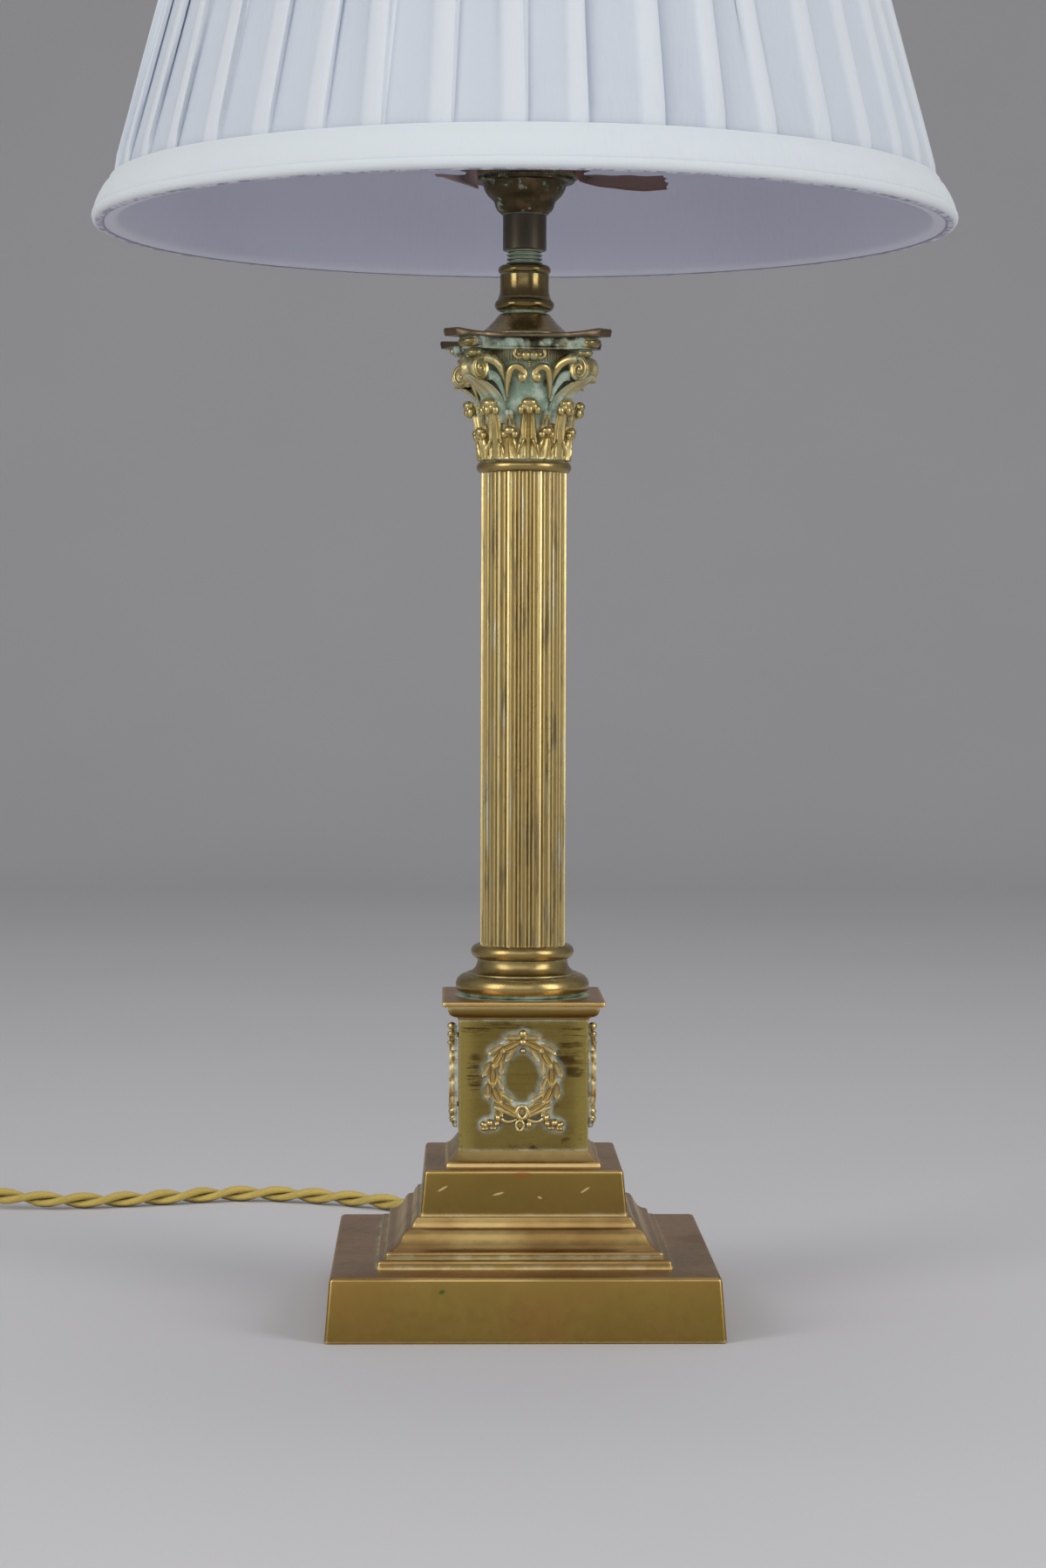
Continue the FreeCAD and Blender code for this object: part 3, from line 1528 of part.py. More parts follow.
def make_plug():
    entry = Vector(*TAIL_ROUTE[-1])
    deep = as_size(entry.y) - size.plug_length / 2
    across = as_size(entry.x)
    outline = chamfered(size.plug_width, size.plug_length, size.plug_corner)
    padded_outline("plug_cover", outline, size.plug_cover_height, across=across, deep=deep)
    base = padded_outline("plug_base", outline, size.plug_base_height, across=across,
                          deep=deep, up=size.plug_cover_height)
    top = size.plug_cover_height + size.plug_base_height
    row = size.plug_pin_spacing / 2
    spots = [
        (row, row * 0.6, size.plug_pin_width, size.plug_pin_thickness, size.plug_pin_length),
        (-row, row * 0.6, size.plug_pin_width, size.plug_pin_thickness, size.plug_pin_length),
        (as_size(0), row * 0.6 - size.plug_pin_spacing, size.plug_pin_thickness,
         size.plug_earth_width, size.plug_earth_length),
    ]
    pins = [box(length, width, tall, across + x, deep + y, top)
            for x, y, length, width, tall in spots]
    keep("plug_pins", group(*pins))


# ---------------------------------------------------------------- packing cloth and bulb

def make_cloth():
    """The strip trapped on the lower ring: flat over it, with a drooping end on each side."""
    left = float(size.cloth_left)
    right = float(size.cloth_right)
    thick = float(size.cloth_thickness)
    droop = float(size.cloth_droop)
    width = float(size.cloth_width)
    flat = float(size.shade_ring_radius) + 0.6
    ends = []
    for side, reach, drop in ((-1, left, droop), (1, right, droop * 2)):
        ends.append([
            (side * flat, 0.0),
            (side * reach, -drop, (side * (flat + reach) / 2, -drop * 0.28)),
            (side * reach, thick - drop),
            (side * flat, thick, (side * (flat + reach) / 2, thick - drop * 0.28)),
        ])
    solids = []
    for end in ends:
        side = flat_outline(end)
        side.translate(Vector(0, width / 2, 0))
        solids.append(side.extrude(Vector(0, -width, 0)))
    middle = Part.makeBox(2 * flat, width, thick, Vector(-flat, -width / 2, 0))
    strip = middle.multiFuse(solids)
    hole = Part.makeCylinder(float(size.shell_radius) + 0.2, 20, Vector(0, 0, -10))
    feature("packing_cloth", strip.cut(hole).removeSplitter(), up=cloth_level)


def make_bulb():
    level = bulb_level()
    cap = size.bulb_cap_radius
    wall = size.bulb_cap_wall
    shell = turned("bulb_cap_shell", [
        to(0, 0),
        to(cap - 1.5, 0),
        to(cap, 1.5),
        to(cap, size.bulb_cap_height),
        to(cap - wall, size.bulb_cap_height),
        to(cap - wall, 3),
        to(0, 3),
    ])
    nodes.pop("bulb_cap_shell")
    pins = [cylinder(size.bulb_pin_radius, size.bulb_pin_reach - cap + 0.4,
                     (cap - 0.4) * side, 0, size.bulb_pin_level, 90 * side, Vector(0, 1, 0))
            for side in (-1, 1)]
    keep("bulb_cap", place(fuse(shell, *pins), up=level))

    neck = size.bulb_neck_radius
    centre = size.bulb_length - size.bulb_radius
    seat = cap - wall - size.thread_clearance
    glass = size.bulb_glass_wall
    turned("bulb_glass", [
        to(seat - glass, 6),
        to(seat, 6),
        to(seat, size.bulb_cap_height + 0.2),
        to(neck, size.bulb_cap_height + 2),
        to(neck, size.bulb_cap_height + 6),
        to(size.bulb_radius, centre),
        arc_to(0, size.bulb_length, centre_across=0),
        to(0, size.bulb_length - glass),
        arc_to(size.bulb_radius - glass, centre, centre_across=0),
        to(neck - glass, size.bulb_cap_height + 6.4),
        to(neck - glass, size.bulb_cap_height + 2.4),
        to(seat - glass, size.bulb_cap_height + 0.7),
    ], up=level)


# ---------------------------------------------------------------- shade

def make_shade():
    slope = size.shade_slope
    top_level = rim_level + size.shade_height
    stack = size.trim_wall + size.pleat_depth + size.cover_wall + size.frame_gap
    wire = size.rim_wire_radius
    frame_rim = size.rim_radius - size.trim_flare - stack - wire

    def frame_radius(height):
        """Radius of the frame's middle surface at a height above the rim."""
        return frame_rim - slope * height

    def cone_shell(label, low, high, inner, wall):
        """A thin cone between two heights above the rim, inner outside the frame's surface."""
        return turned(label, [
            to(frame_radius(low) + inner, low),
            to(frame_radius(low) + inner + wall, low),
            to(frame_radius(high) + inner + wall, high),
            to(frame_radius(high) + inner, high),
        ], up=rim_level)

    lip = size.trim_wall
    cover_foot = lip + size.frame_gap
    ring_place = cover_foot + wire
    top_ring_place = size.shade_height - ring_place
    lining_face = -wire - size.frame_gap - size.lining_wall
    lining = cone_shell("shade_lining_blank", cover_foot, size.shade_height - cover_foot,
                        lining_face, size.lining_wall)
    nodes.pop("shade_lining_blank")
    ways = document.addObject("Part::Feature", "arm_ways")
    ways.Shape = Part.Compound(arm_solids(frame_radius, size.thread_clearance))
    keep("shade_lining", cut(lining, ways))

    cover_face = wire + size.frame_gap
    outer_face = cover_face + size.cover_wall
    make_cover(frame_radius, cover_foot, size.shade_height - cover_foot, cover_face, outer_face)

    trim_face = outer_face + size.pleat_depth
    high = size.trim_height
    inner_edge = frame_radius(0) + lining_face
    turned("shade_bottom_trim", [
        to(inner_edge, 0),
        to(size.rim_radius - 1.2, 0),
        arc_to(size.rim_radius, 2.0, centre_across=size.rim_radius - 2.4),
        to(frame_radius(high) + trim_face + size.trim_wall, high),
        to(frame_radius(high) + trim_face + 0.05, high),
        to(frame_radius(lip) + trim_face + 0.05, lip),
        to(inner_edge, lip),
    ], up=rim_level)
    low = size.shade_height - size.top_trim_height
    end = size.shade_height
    top_inner = frame_radius(end) + lining_face
    turned("shade_top_trim", [
        to(frame_radius(low) + trim_face + 0.05, low),
        to(frame_radius(low) + trim_face + size.trim_wall, low),
        to(frame_radius(end) + trim_face + size.trim_wall, end),
        to(top_inner, end),
        to(top_inner, end - lip),
        to(frame_radius(end - lip) + trim_face + 0.05, end - lip),
    ], up=rim_level)

    rings = {}
    for label, height in (("shade_bottom_ring", ring_place), ("shade_top_ring",
                                                             top_ring_place)):
        ring = document.addObject("Part::Torus", label)
        bind(ring, Radius1=frame_radius(height), Radius2=wire)
        rings[label] = keep(label, place(ring, up=rim_level + height))

    low_radius = float(frame_radius(ring_place))
    high_radius = float(frame_radius(top_ring_place))
    low_up = float(rim_level + ring_place)
    high_up = float(rim_level + top_ring_place)
    document.recompute()
    count = int(float(size.strut_count))
    struts = []
    for index in range(count):
        angle = math.radians(30 + 360 * index / count)
        first = Vector(low_radius * math.cos(angle), low_radius * math.sin(angle), low_up)
        last = Vector(high_radius * math.cos(angle), high_radius * math.sin(angle), high_up)
        strut = Part.makeCylinder(float(size.strut_radius), (last - first).Length, first,
                                  last - first)
        strut = strut.cut([ring.Shape for ring in rings.values()])
        struts.append(max(strut.Solids, key=lambda solid: solid.Volume))
    feature("shade_struts", Part.Compound(struts))
    make_gimbal(struts, frame_radius)


def make_cover(frame_radius, low, high, inner, outer):
    """The knife-pleated cover: straight pleats ruled from the rim to the top."""
    count = int(float(size.pleat_count))
    depth = float(size.pleat_depth)
    profile = ((0.0, 0.0), (0.58, 0.45), (0.97, 1.0))
    widest = math.pi * profile[1][0] / count

    def skin(face, rising):
        """A solid whose corners, at each of the pleats' folds, are face outside the frame."""
        rings = []
        for height in (low, high):
            corners = []
            for pleat in range(count):
                for share, rise in profile:
                    angle = 2 * math.pi * (pleat + share) / count
                    radius = float(frame_radius(height) + face) + rising * rise
                    if not rising:
                        radius = radius / math.cos(widest)
                    corners.append(Vector(radius * math.cos(angle), radius * math.sin(angle),
                                          float(rim_level + height)))
            rings.append(Part.makePolygon(corners + corners[:1]))
        return Part.makeLoft(rings, True, True)

    feature("shade_cover", skin(outer, depth).cut(skin(inner, 0.0)))


def arm_solids(frame_radius, extra=0):
    """The gimbal's arms, straight wires from the fitter's edge out to every other strut."""
    foot = float(fitter_level + size.arm_radius)
    rise = float(size.arm_rise)
    count = int(float(size.arm_count))
    far = float(frame_radius(size.rim_drop + size.arm_radius + size.arm_rise))
    arms = []
    for index in range(count):
        angle = math.radians(30 + 360 * index / count)
        out = Vector(math.cos(angle), math.sin(angle), 0)
        first = out * (float(size.fitter_radius) - 2) + UP * foot
        run = out * far + UP * (foot + rise) - first
        arms.append(Part.makeCylinder(float(size.arm_radius + extra), run.Length, first, run))
    return arms


def make_gimbal(struts, frame_radius):
    """The fitter ring that drops over the holder, and its arms, which end at the struts."""
    level = Vector(0, 0, float(fitter_level))
    thick = float(size.fitter_thickness)
    ring = Part.makeCylinder(float(size.fitter_radius), thick, level)
    ring = ring.cut(Part.makeCylinder(float(size.fitter_hole_radius), thick, level))
    feature("shade_fitter_ring", ring)
    arms = []
    for arm in arm_solids(frame_radius):
        pieces = arm.cut(struts + [ring]).Solids
        arms.append(max(pieces, key=lambda solid: solid.Volume))
    feature("shade_arms", Part.Compound(arms))


# ---------------------------------------------------------------- build, check and write

def check_and_write():
    document.recompute()
    failed = [thing.Label for thing in document.Objects
              if "Invalid" in thing.State or "Error" in thing.State]
    failed += [label for label, thing in nodes.items()
               if thing.Shape.isNull() or not thing.Shape.isValid() or not thing.Shape.Solids]
    if failed:
        raise RuntimeError("these have failed: " + ", ".join(failed))
    os.makedirs(PARTS_FOLDER, exist_ok=True)
    for label, thing in nodes.items():
        thing.Shape.exportStep(os.path.join(PARTS_FOLDER, label + ".step"))
    print("%d nodes written" % len(nodes))


make_base()
make_pedestal()
make_wreaths()
make_column()
make_capital()
make_neck()
make_holder()
make_cloth()
make_bulb()
make_shade()
make_inner_flex()
make_gland()
make_cord()
make_switch()
make_plug()
check_and_write()
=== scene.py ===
import math

import bmesh
import bpy
from mathutils import Matrix, Quaternion, Vector, noise


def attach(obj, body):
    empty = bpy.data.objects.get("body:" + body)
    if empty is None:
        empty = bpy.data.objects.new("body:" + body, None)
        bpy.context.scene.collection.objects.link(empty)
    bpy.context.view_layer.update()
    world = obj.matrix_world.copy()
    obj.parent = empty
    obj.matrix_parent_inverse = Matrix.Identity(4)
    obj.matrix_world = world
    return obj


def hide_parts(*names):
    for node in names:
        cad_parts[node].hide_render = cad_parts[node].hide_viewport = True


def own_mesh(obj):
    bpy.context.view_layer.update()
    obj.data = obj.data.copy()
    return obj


# The looks of a column table lamp: aged brass, a pleated shade and a twisted gold flex. Lengths
# are written in millimetres and meshes are made in metres. Heights are above the table.

MM = 0.001
UP = Vector((0, 0, 1))
DEEP = Vector((0, 1, 0))

ROD_BORE = 5.3
THREAD_BORE = 5.05
PLINTH_HEAD = 22.5
TIER_HEAD = 38.5
BLOCK_HEAD = 54.5
DIE_FOOT = 59.7
DIE_HEAD = 106.1
CORNICE_HEAD = 110.9
DIE_FACE = 22.9
WREATH_LEVEL = 85.8
WREATH_WIDE = 10.4
WREATH_TALL = 12.1
COLUMN_BASE_FOOT = 112.8
COLUMN_FOOT = 131.2
COLUMN_HEAD = 299.8
SHAFT_RADIUS = 15.27
SHAFT_BORE = 12.4
FLUTES = 24
CAPITAL_FOOT = 303.9
CAPITAL_TURN = 4.0
SCROLL_STEPS = 44
PLATE_TURN = 1.4
PLATE_LEVEL = 346.5
COLLAR_FOOT = 357.5
RING_LEVEL = 404.6
RING_BORE = 14.28
SPRING_FOOT = 405.4
RIM_LEVEL = 386.5
SHADE_HEIGHT = 200.0
SHADE_SLOPE = 0.271
FRAME_RIM = 146.9
STRIP_WIDTH = 22.0
PLEATS = 42
PLEAT_WIDTH = 22.4
PLEAT_STRAY = 0.2
PLEAT_TURN = 0.35

# Routes of the free flex: behind the base to the switch, then round to the coil and the plug.
RUN_ROUTE = [
    (0.0, 87.6, 11.0), (0.0, 108.0, 9.0), (-3.0, 134.0, 4.2), (-11.0, 166.0, 3.4),
    (-34.0, 201.0, 3.4), (-72.0, 226.0, 3.4), (-113.0, 240.0, 3.4), (-150.0, 225.0, 3.4),
    (-186.0, 215.0, 3.4), (-218.0, 219.0, 5.4), (-246.0, 219.0, 8.0),
]
LEAD_ROUTE = [
    (-308.0, 219.0, 8.0), (-326.0, 219.0, 6.0), (-347.0, 210.0, 3.8), (-360.0, 190.0, 3.4),
    (-362.0, 166.0, 3.4),
]
TAIL_ROUTE = [
    (-362.0, 128.0, 10.7), (-359.0, 108.0, 10.2), (-359.0, 92.0, 10.0),
]
COIL_CENTRE = (-314.0, 146.0)
COIL_RADIUS = 48.0
COIL_PITCH = 7.3
COIL_LAYER = 2.75
COIL_POINTS = 16
FLEX_DIAMETER = 6.8
FLEX_TWIST = 34.0

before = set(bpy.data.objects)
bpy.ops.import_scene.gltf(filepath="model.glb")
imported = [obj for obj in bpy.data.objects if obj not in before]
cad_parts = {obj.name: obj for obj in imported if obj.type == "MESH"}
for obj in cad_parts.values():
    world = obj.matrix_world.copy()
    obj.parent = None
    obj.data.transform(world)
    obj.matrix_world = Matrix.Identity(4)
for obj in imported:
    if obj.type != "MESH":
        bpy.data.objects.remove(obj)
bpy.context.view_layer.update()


# ---------------------------------------------------------------- node trees

class Field:
    """A value in a node tree. Arithmetic on it adds Math nodes."""

    def __init__(self, tree, socket):
        self.tree = tree
        self.socket = socket

    def maths(self, operation, *values, clamp=False):
        return self.tree.node("ShaderNodeMath", {"operation": operation, "use_clamp": clamp},
                              dict(enumerate(values)))

    def __add__(self, other):
        return self.maths("ADD", self, other)

    def __sub__(self, other):
        return self.maths("SUBTRACT", self, other)

    def __rsub__(self, other):
        return self.maths("SUBTRACT", other, self)

    def __mul__(self, other):
        return self.maths("MULTIPLY", self, other)

    def __truediv__(self, other):
        return self.maths("DIVIDE", self, other)

    def __pow__(self, other):
        return self.maths("POWER", self, other)

    __radd__ = __add__
    __rmul__ = __mul__

    def clamped(self):
        return self.maths("ADD", self, 0.0, clamp=True)

    def sine(self):
        return self.maths("SINE", self)

    def cosine(self):
        return self.maths("COSINE", self)

    def size(self):
        return self.maths("ABSOLUTE", self)

    def larger(self, other):
        return self.maths("MAXIMUM", self, other)

    def above(self, low, high):
        """0 below low, 1 above high, and smooth between."""
        return self.tree.node("ShaderNodeMapRange", {"interpolation_type": "SMOOTHSTEP"},
                              {0: self, 1: low, 2: high})


class Tree:
    """A node tree and the one way in which nodes are added to it."""

    def __init__(self, nodes, links):
        self.nodes = nodes
        self.links = links

    def node(self, kind, settings=None, values=None, output=0):
        made = self.nodes.new(kind)
        for name, value in (settings or {}).items():
            setattr(made, name, value)
        for name, value in (values or {}).items():
            self.feed(made.inputs[name], value)
        return Field(self, made.outputs[output])

    def feed(self, socket, value):
        if isinstance(value, Field):
            self.links.new(value.socket, socket)
        elif hasattr(socket.default_value, "__len__") and len(value) == 3 \
                and len(socket.default_value) == 4:
            socket.default_value = (*value, 1.0)
        else:
            socket.default_value = value

    def mix(self, factor, low, high):
        """A colour between two colours."""
        return self.node("ShaderNodeMix", {"data_type": "RGBA"}, {0: factor, 6: low, 7: high}, 2)

    def axes(self, vector):
        """The three coordinates of a vector."""
        parts = self.node("ShaderNodeSeparateXYZ", None, {0: vector})
        return [Field(self, output) for output in parts.socket.node.outputs]

    def vector(self, across, deep, up):
        return self.node("ShaderNodeCombineXYZ", None, {0: across, 1: deep, 2: up})


class Finish(Tree):
    """A material on the principled shader, with the patterns that the lamp's finishes share."""

    def __init__(self, name):
        self.material = bpy.data.materials.new(name)
        self.material.use_nodes = True
        tree = self.material.node_tree
        super().__init__(tree.nodes, tree.links)
        self.shader = tree.nodes["Principled BSDF"]
        self.place = self.node("ShaderNodeTexCoord", None, None, "Object")

    def set(self, **values):
        for name, value in values.items():
            self.feed(self.shader.inputs[name.replace("_", " ")], value)
        return self

    def noise(self, scale, detail=3.0, rough=0.5, place=None):
        return self.node("ShaderNodeTexNoise", None, {
            "Vector": place or self.place, "Scale": scale, "Detail": detail,
            "Roughness": rough}, "Fac")

    def stretched(self, across, deep, up):
        """Object coordinates with a scale of their own along each axis."""
        return self.node("ShaderNodeMapping", None, {
            "Vector": self.place, "Scale": (across, deep, up)})

    def grain(self, level, up, detail, rough):
        """Noise with one scale on the level and another up and down."""
        return self.noise(1.0, detail, rough, self.stretched(level, level, up))

    def level(self):
        """How high a point is, in metres."""
        return self.axes(self.place)[2]

    def crevice(self, reach, inside=False):
        """1 deep in a hollow and 0 on open ground, or the same for sharp edges."""
        open_sky = self.node("ShaderNodeAmbientOcclusion", {"samples": 6, "inside": inside},
                             {"Distance": reach * MM}, "AO")
        return 1 - open_sky

    def radius(self):
        """How far a point is from the lamp's axis, in metres."""
        across, deep, _ = self.axes(self.place)
        return (across * across + deep * deep) ** 0.5

    def bump(self, height, strength, reach=0.3):
        made = self.node("ShaderNodeBump", None, {
            "Strength": strength, "Distance": reach * MM, "Height": height})
        return self.set(Normal=made)

    def done(self):
        return self.material


def srgb(red, green, blue):
    """A colour as it looks on screen, turned into the renderer's linear numbers."""
    return tuple(((part / 255 + 0.055) / 1.055) ** 2.4 if part > 10 else part / 3295
                 for part in (red, green, blue))


# ---------------------------------------------------------------- finishes

def aged_brass(name, face, shade, glint, verdigris=0.5, hollow=2.5, rough=0.3, upper=None,
               dirt=(0.3, 0.7), wear=0.9, edges=(0.4, 0.7), extra=None,
               salts=((126, 146, 122), (186, 200, 182))):
    """Old polished brass: tarnished brown and darkened by painted shade in its hollows, lightened
    on its edges by worn brass and a painted highlight, green where it is wet. upper is a painted
    reflection on faces that look up.
    Its colours are screen values of 0 to 255."""
    finish = Finish(name)
    glint = srgb(*glint)
    cloud = finish.noise(38.0, 5.0, 0.6)
    fine = finish.noise(420.0, 4.0, 0.65)
    crevice = finish.crevice(hollow)
    edge = finish.crevice(wear, inside=True)
    # Random tarnish plus painted shade in the hollows, from the occlusion mask.
    tarnish_and_hollow_shade = (cloud * 1.5 - 0.42 + crevice * 0.9).clamped()
    colour = finish.mix(tarnish_and_hollow_shade, srgb(*face), srgb(*shade))
    # Painted light: faces that slope up get the glint as a painted highlight, and faces that look
    # straight up get upper as a painted reflection.
    if upper:
        normal = finish.node("ShaderNodeNewGeometry", None, None, "Normal")
        tilt = finish.axes(normal)[2]
        colour = finish.mix(tilt.above(0.15, 0.4) * (1 - tilt.above(0.75, 0.95)) * 0.7,
                            colour, glint)
        colour = finish.mix(tilt.above(0.7, 0.95) * 0.9, colour, srgb(*upper))
    blotch = finish.noise(150.0, 4.0, 0.7)
    green = (crevice.above(*dirt) + (blotch - 0.5) * 0.7).clamped() * crevice.above(0.07, 0.25)
    green = green * verdigris
    if extra:
        colour, green = extra(finish, colour, green, crevice)
    green = green.clamped()
    tint = finish.mix(blotch.above(0.4, 0.62), srgb(*salts[0]), srgb(*salts[1]))
    colour = finish.mix(green, colour, tint)
    # Edges lightened to the glint: partly worn brass, partly a painted highlight.
    colour = finish.mix((edge.above(*edges) * (0.55 + fine)).clamped(), colour, glint)
    scratches = finish.grain(900, 60, 2.0, 0.5)
    finish.set(Base_Color=colour, Metallic=1 - green * 0.9,
               Roughness=(rough + (fine - 0.5) * 0.3 + tarnish_and_hollow_shade * 0.12 + green * 0.4).clamped())
    return finish.bump(fine * 0.6 + scratches * 0.4 + green * 0.5, 0.14, 0.15).done()


def fluted(finish, colour, green, crevice):
    """Bright fillets between flutes that are painted darker as painted shade, and stains along
    the flutes' length, most of all at the foot."""
    # band is 1 on the fillets. The flutes inside that radius are painted darker as painted shade.
    band = finish.radius().above(0.01485, 0.01522)
    colour = finish.mix(1 - band, colour, srgb(162, 140, 90))
    grain = finish.grain(330, 34, 4.0, 0.65)
    grain = grain + (1 - finish.level().above(0.135, 0.195)) * 0.05
    colour = finish.mix(grain.above(0.52, 0.64) * (1 - band * 0.8), colour, srgb(122, 106, 74))
    pale = finish.grain(410, 26, 4.0, 0.65)
    return finish.mix(pale.above(0.56, 0.66) * (1 - band), colour, srgb(168, 162, 140)), green


def splashed(finish, colour, green, crevice):
    """More verdigris in the hollows, the higher up the capital they are. Painted shade darkens
    the hollows, and the pods above 340 mm are a darker brown.
    """
    level = finish.level()
    high = level.above(0.314, 0.330)
    blotch = finish.noise(260.0, 4.0, 0.7)
    hollow = crevice.above(0.3, 0.55) * high * (blotch * 1.2 + 0.3)
    hollow = hollow.larger(blotch.above(0.52, 0.62) * high * 0.5)
    # Painted shade: the hollows are darkened brown.
    colour = finish.mix(crevice.above(0.4, 0.85) * 0.55, colour, srgb(110, 90, 52))
    colour = finish.mix(level.above(0.3395, 0.3425) * 0.55, colour, srgb(96, 76, 44))
    return colour, green.larger(hollow)


def drenched(finish, colour, green, crevice):
    """The capital's bell and abacus are green, with brown painted shade in the hollows and black
    patches: dark stains kept to the hollows and the abacus under the plate, where they are partly
    painted shade.
    """
    level = finish.level()
    high = level.above(0.313, 0.321)
    blotch = finish.noise(140.0, 4.0, 0.7)
    wet = (blotch.above(0.3, 0.5) * 1.2) * high
    shelf = level.above(0.3405, 0.3425)
    # Black patches: dark stains, kept to the hollows and the abacus under the plate, partly
    # painted shade.
    black = (finish.noise(110.0, 4.0, 0.6) + shelf * 0.07).above(0.5, 0.62) * high
    black = (black * (crevice.above(0.2, 0.6) + shelf)).clamped()
    # Painted shade: the hollows are darkened brown.
    colour = finish.mix(crevice.above(0.35, 0.8) * 0.8, colour, srgb(84, 72, 44))
    return finish.mix(black, colour, srgb(58, 52, 42)), \
        green.larger(wet) * (1 - black * 0.8)


def crusted(finish, colour, green, crevice):
    """Pale crust between a wreath's leaves, and a browner tone in their dished middles."""
    across, deep, _ = finish.axes(finish.place)
    across, deep = across.size(), deep.size()
    depth = across.larger(deep)
    blotch = finish.noise(420.0, 3.0, 0.6)
    gap = (1 - depth.above(0.0241, 0.0247)) * (blotch.above(0.25, 0.5) * 0.6 + 0.4)
    dish = (1 - depth.above(0.0250, 0.0256)) * 0.7
    return finish.mix(dish, colour, srgb(168, 142, 84)), green.larger(gap)


def threaded(finish, colour, green, crevice):
    """Pale green crests, and grooves painted near black as painted shade, on a screw thread."""
    crest = finish.radius().above(0.0059, 0.0062)
    grain = finish.noise(300.0, 3.0, 0.6)
    # Painted shade: below the crests' radius the grooves are painted near black.
    return finish.mix(crest, srgb(30, 36, 28), colour), crest * (0.5 + grain * 0.9)


def spot(finish, across, level, reach, wide, tilt):
    """1 in a small slanting mark on a front face and 0 outside it. Its place is in mm."""
    x, _, z = finish.axes(finish.place)
    x, z = x - across * MM, z - level * MM
    turn = math.radians(tilt)
    along = (x * math.cos(turn) + z * math.sin(turn)) / (reach * MM)
    aside = (z * math.cos(turn) - x * math.sin(turn)) / (wide * MM)
    return 1 - (along * along + aside * aside).above(0.3, 1.0)


def brushed(finish, colour, green, crevice):
    """Level brush marks, dark blotches, and paler strips beside the vertical corners that are a
    painted reflection, as on the pedestal's four faces.
    """
    marks = finish.grain(30, 520, 4.0, 0.6)
    blotch = finish.noise(60.0, 4.0, 0.6)
    streaks = finish.grain(110, 1300, 4.0, 0.7)
    across, deep, _ = finish.axes(finish.place)
    across, deep = across.size(), deep.size()
    # Painted reflection: the faces are paler near the die's vertical corners.
    border_reflection = across.maths("MINIMUM", across, deep).above(0.0150, 0.0215)
    colour = finish.mix(marks.above(0.42, 0.62) * 0.3, colour, srgb(110, 90, 44))
    colour = finish.mix(border_reflection * 0.6, colour, srgb(184, 164, 92))
    dark = blotch.above(0.56, 0.63) * marks.above(0.34, 0.52) * (0.9 - border_reflection * 0.3)
    for across, level, reach, wide in ((-17.0, 102.6, 5.0, 1.8), (-5.0, 104.2, 9.0, 1.3),
                                       (-17.2, 87.5, 2.8, 6.5), (17.2, 99.5, 4.8, 5.2),
                                       (18.3, 89.5, 3.0, 4.2)):
        patch = spot(finish, across, level, reach * 1.3, wide * 1.3, 0) * streaks.above(0.44, 0.6)
        dark = dark.larger(patch * 0.8)
    return finish.mix(dark, colour, srgb(74, 54, 28)), green


def rubbed(finish, colour, green, crevice):
    """Ruddy clouds, a browner upper block, a few short scratches, and a red and a green
    spot, as on the base's plain faces."""
    warm = finish.noise(26.0, 3.0, 0.5)
    colour = finish.mix(warm.above(0.42, 0.66) * 0.75, colour, srgb(150, 112, 62))
    olive = finish.noise(17.0, 3.0, 0.5, finish.stretched(1.0, 1.0, 2.2))
    colour = finish.mix(olive.above(0.5, 0.68) * 0.35, colour, srgb(140, 122, 58))
    level = finish.level()
    block = level.above(0.0385, 0.0395) * (1 - level.above(0.0525, 0.0535))
    colour = finish.mix(block * 0.45, colour, srgb(104, 84, 44))
    green = green * level.above(0.002, 0.004)
    for across, level, reach, tilt in ((-28.5, 48.1, 2.3, 30), (-9.0, 46.3, 2.4, 14),
                                       (21.4, 47.6, 2.2, 32), (5.5, 45.0, 1.0, -20)):
        colour = finish.mix(spot(finish, across, level, reach, 0.45, tilt) * 0.8, colour,
                            srgb(214, 196, 136))
    colour = finish.mix(spot(finish, -0.6, 52.8, 4.0, 1.4, 0) * 0.5, colour, srgb(150, 84, 44))
    return finish.mix(spot(finish, -28.7, 17.7, 1.3, 0.9, 20) * 0.9, colour,
                      srgb(70, 98, 40)), green


def grimed(finish, colour, green, crevice):
    """Brown and green patches of old lacquer, as on the lampholder."""
    patch = finish.noise(150.0, 4.0, 0.6)
    colour = finish.mix(patch.above(0.48, 0.6) * 0.7, colour, srgb(104, 82, 58))
    wet = finish.noise(170.0, 4.0, 0.7).above(0.58, 0.64) * 0.75
    return colour, green.larger(wet)


def plain_metal(name, colour, rough):
    finish = Finish(name)
    fine = finish.noise(300.0, 3.0)
    worn = finish.mix(fine.above(0.4, 0.7), colour, tuple(part * 0.7 for part in colour))
    finish.set(Base_Color=worn, Metallic=1.0, Roughness=rough + (fine - 0.5) * 0.2)
    return finish.bump(fine, 0.1, 0.1).done()


def moulded_plastic(name, colour, rough):
    finish = Finish(name)
    fine = finish.noise(900.0, 2.0)
    cloud = finish.noise(45.0, 3.0)
    dust = finish.mix(cloud.above(0.45, 0.75) * 0.5, colour, tuple(c * 0.86 for c in colour))
    finish.set(Base_Color=dust, Roughness=rough + (cloud - 0.5) * 0.15)
    return finish.bump(fine, 0.08, 0.08).done()


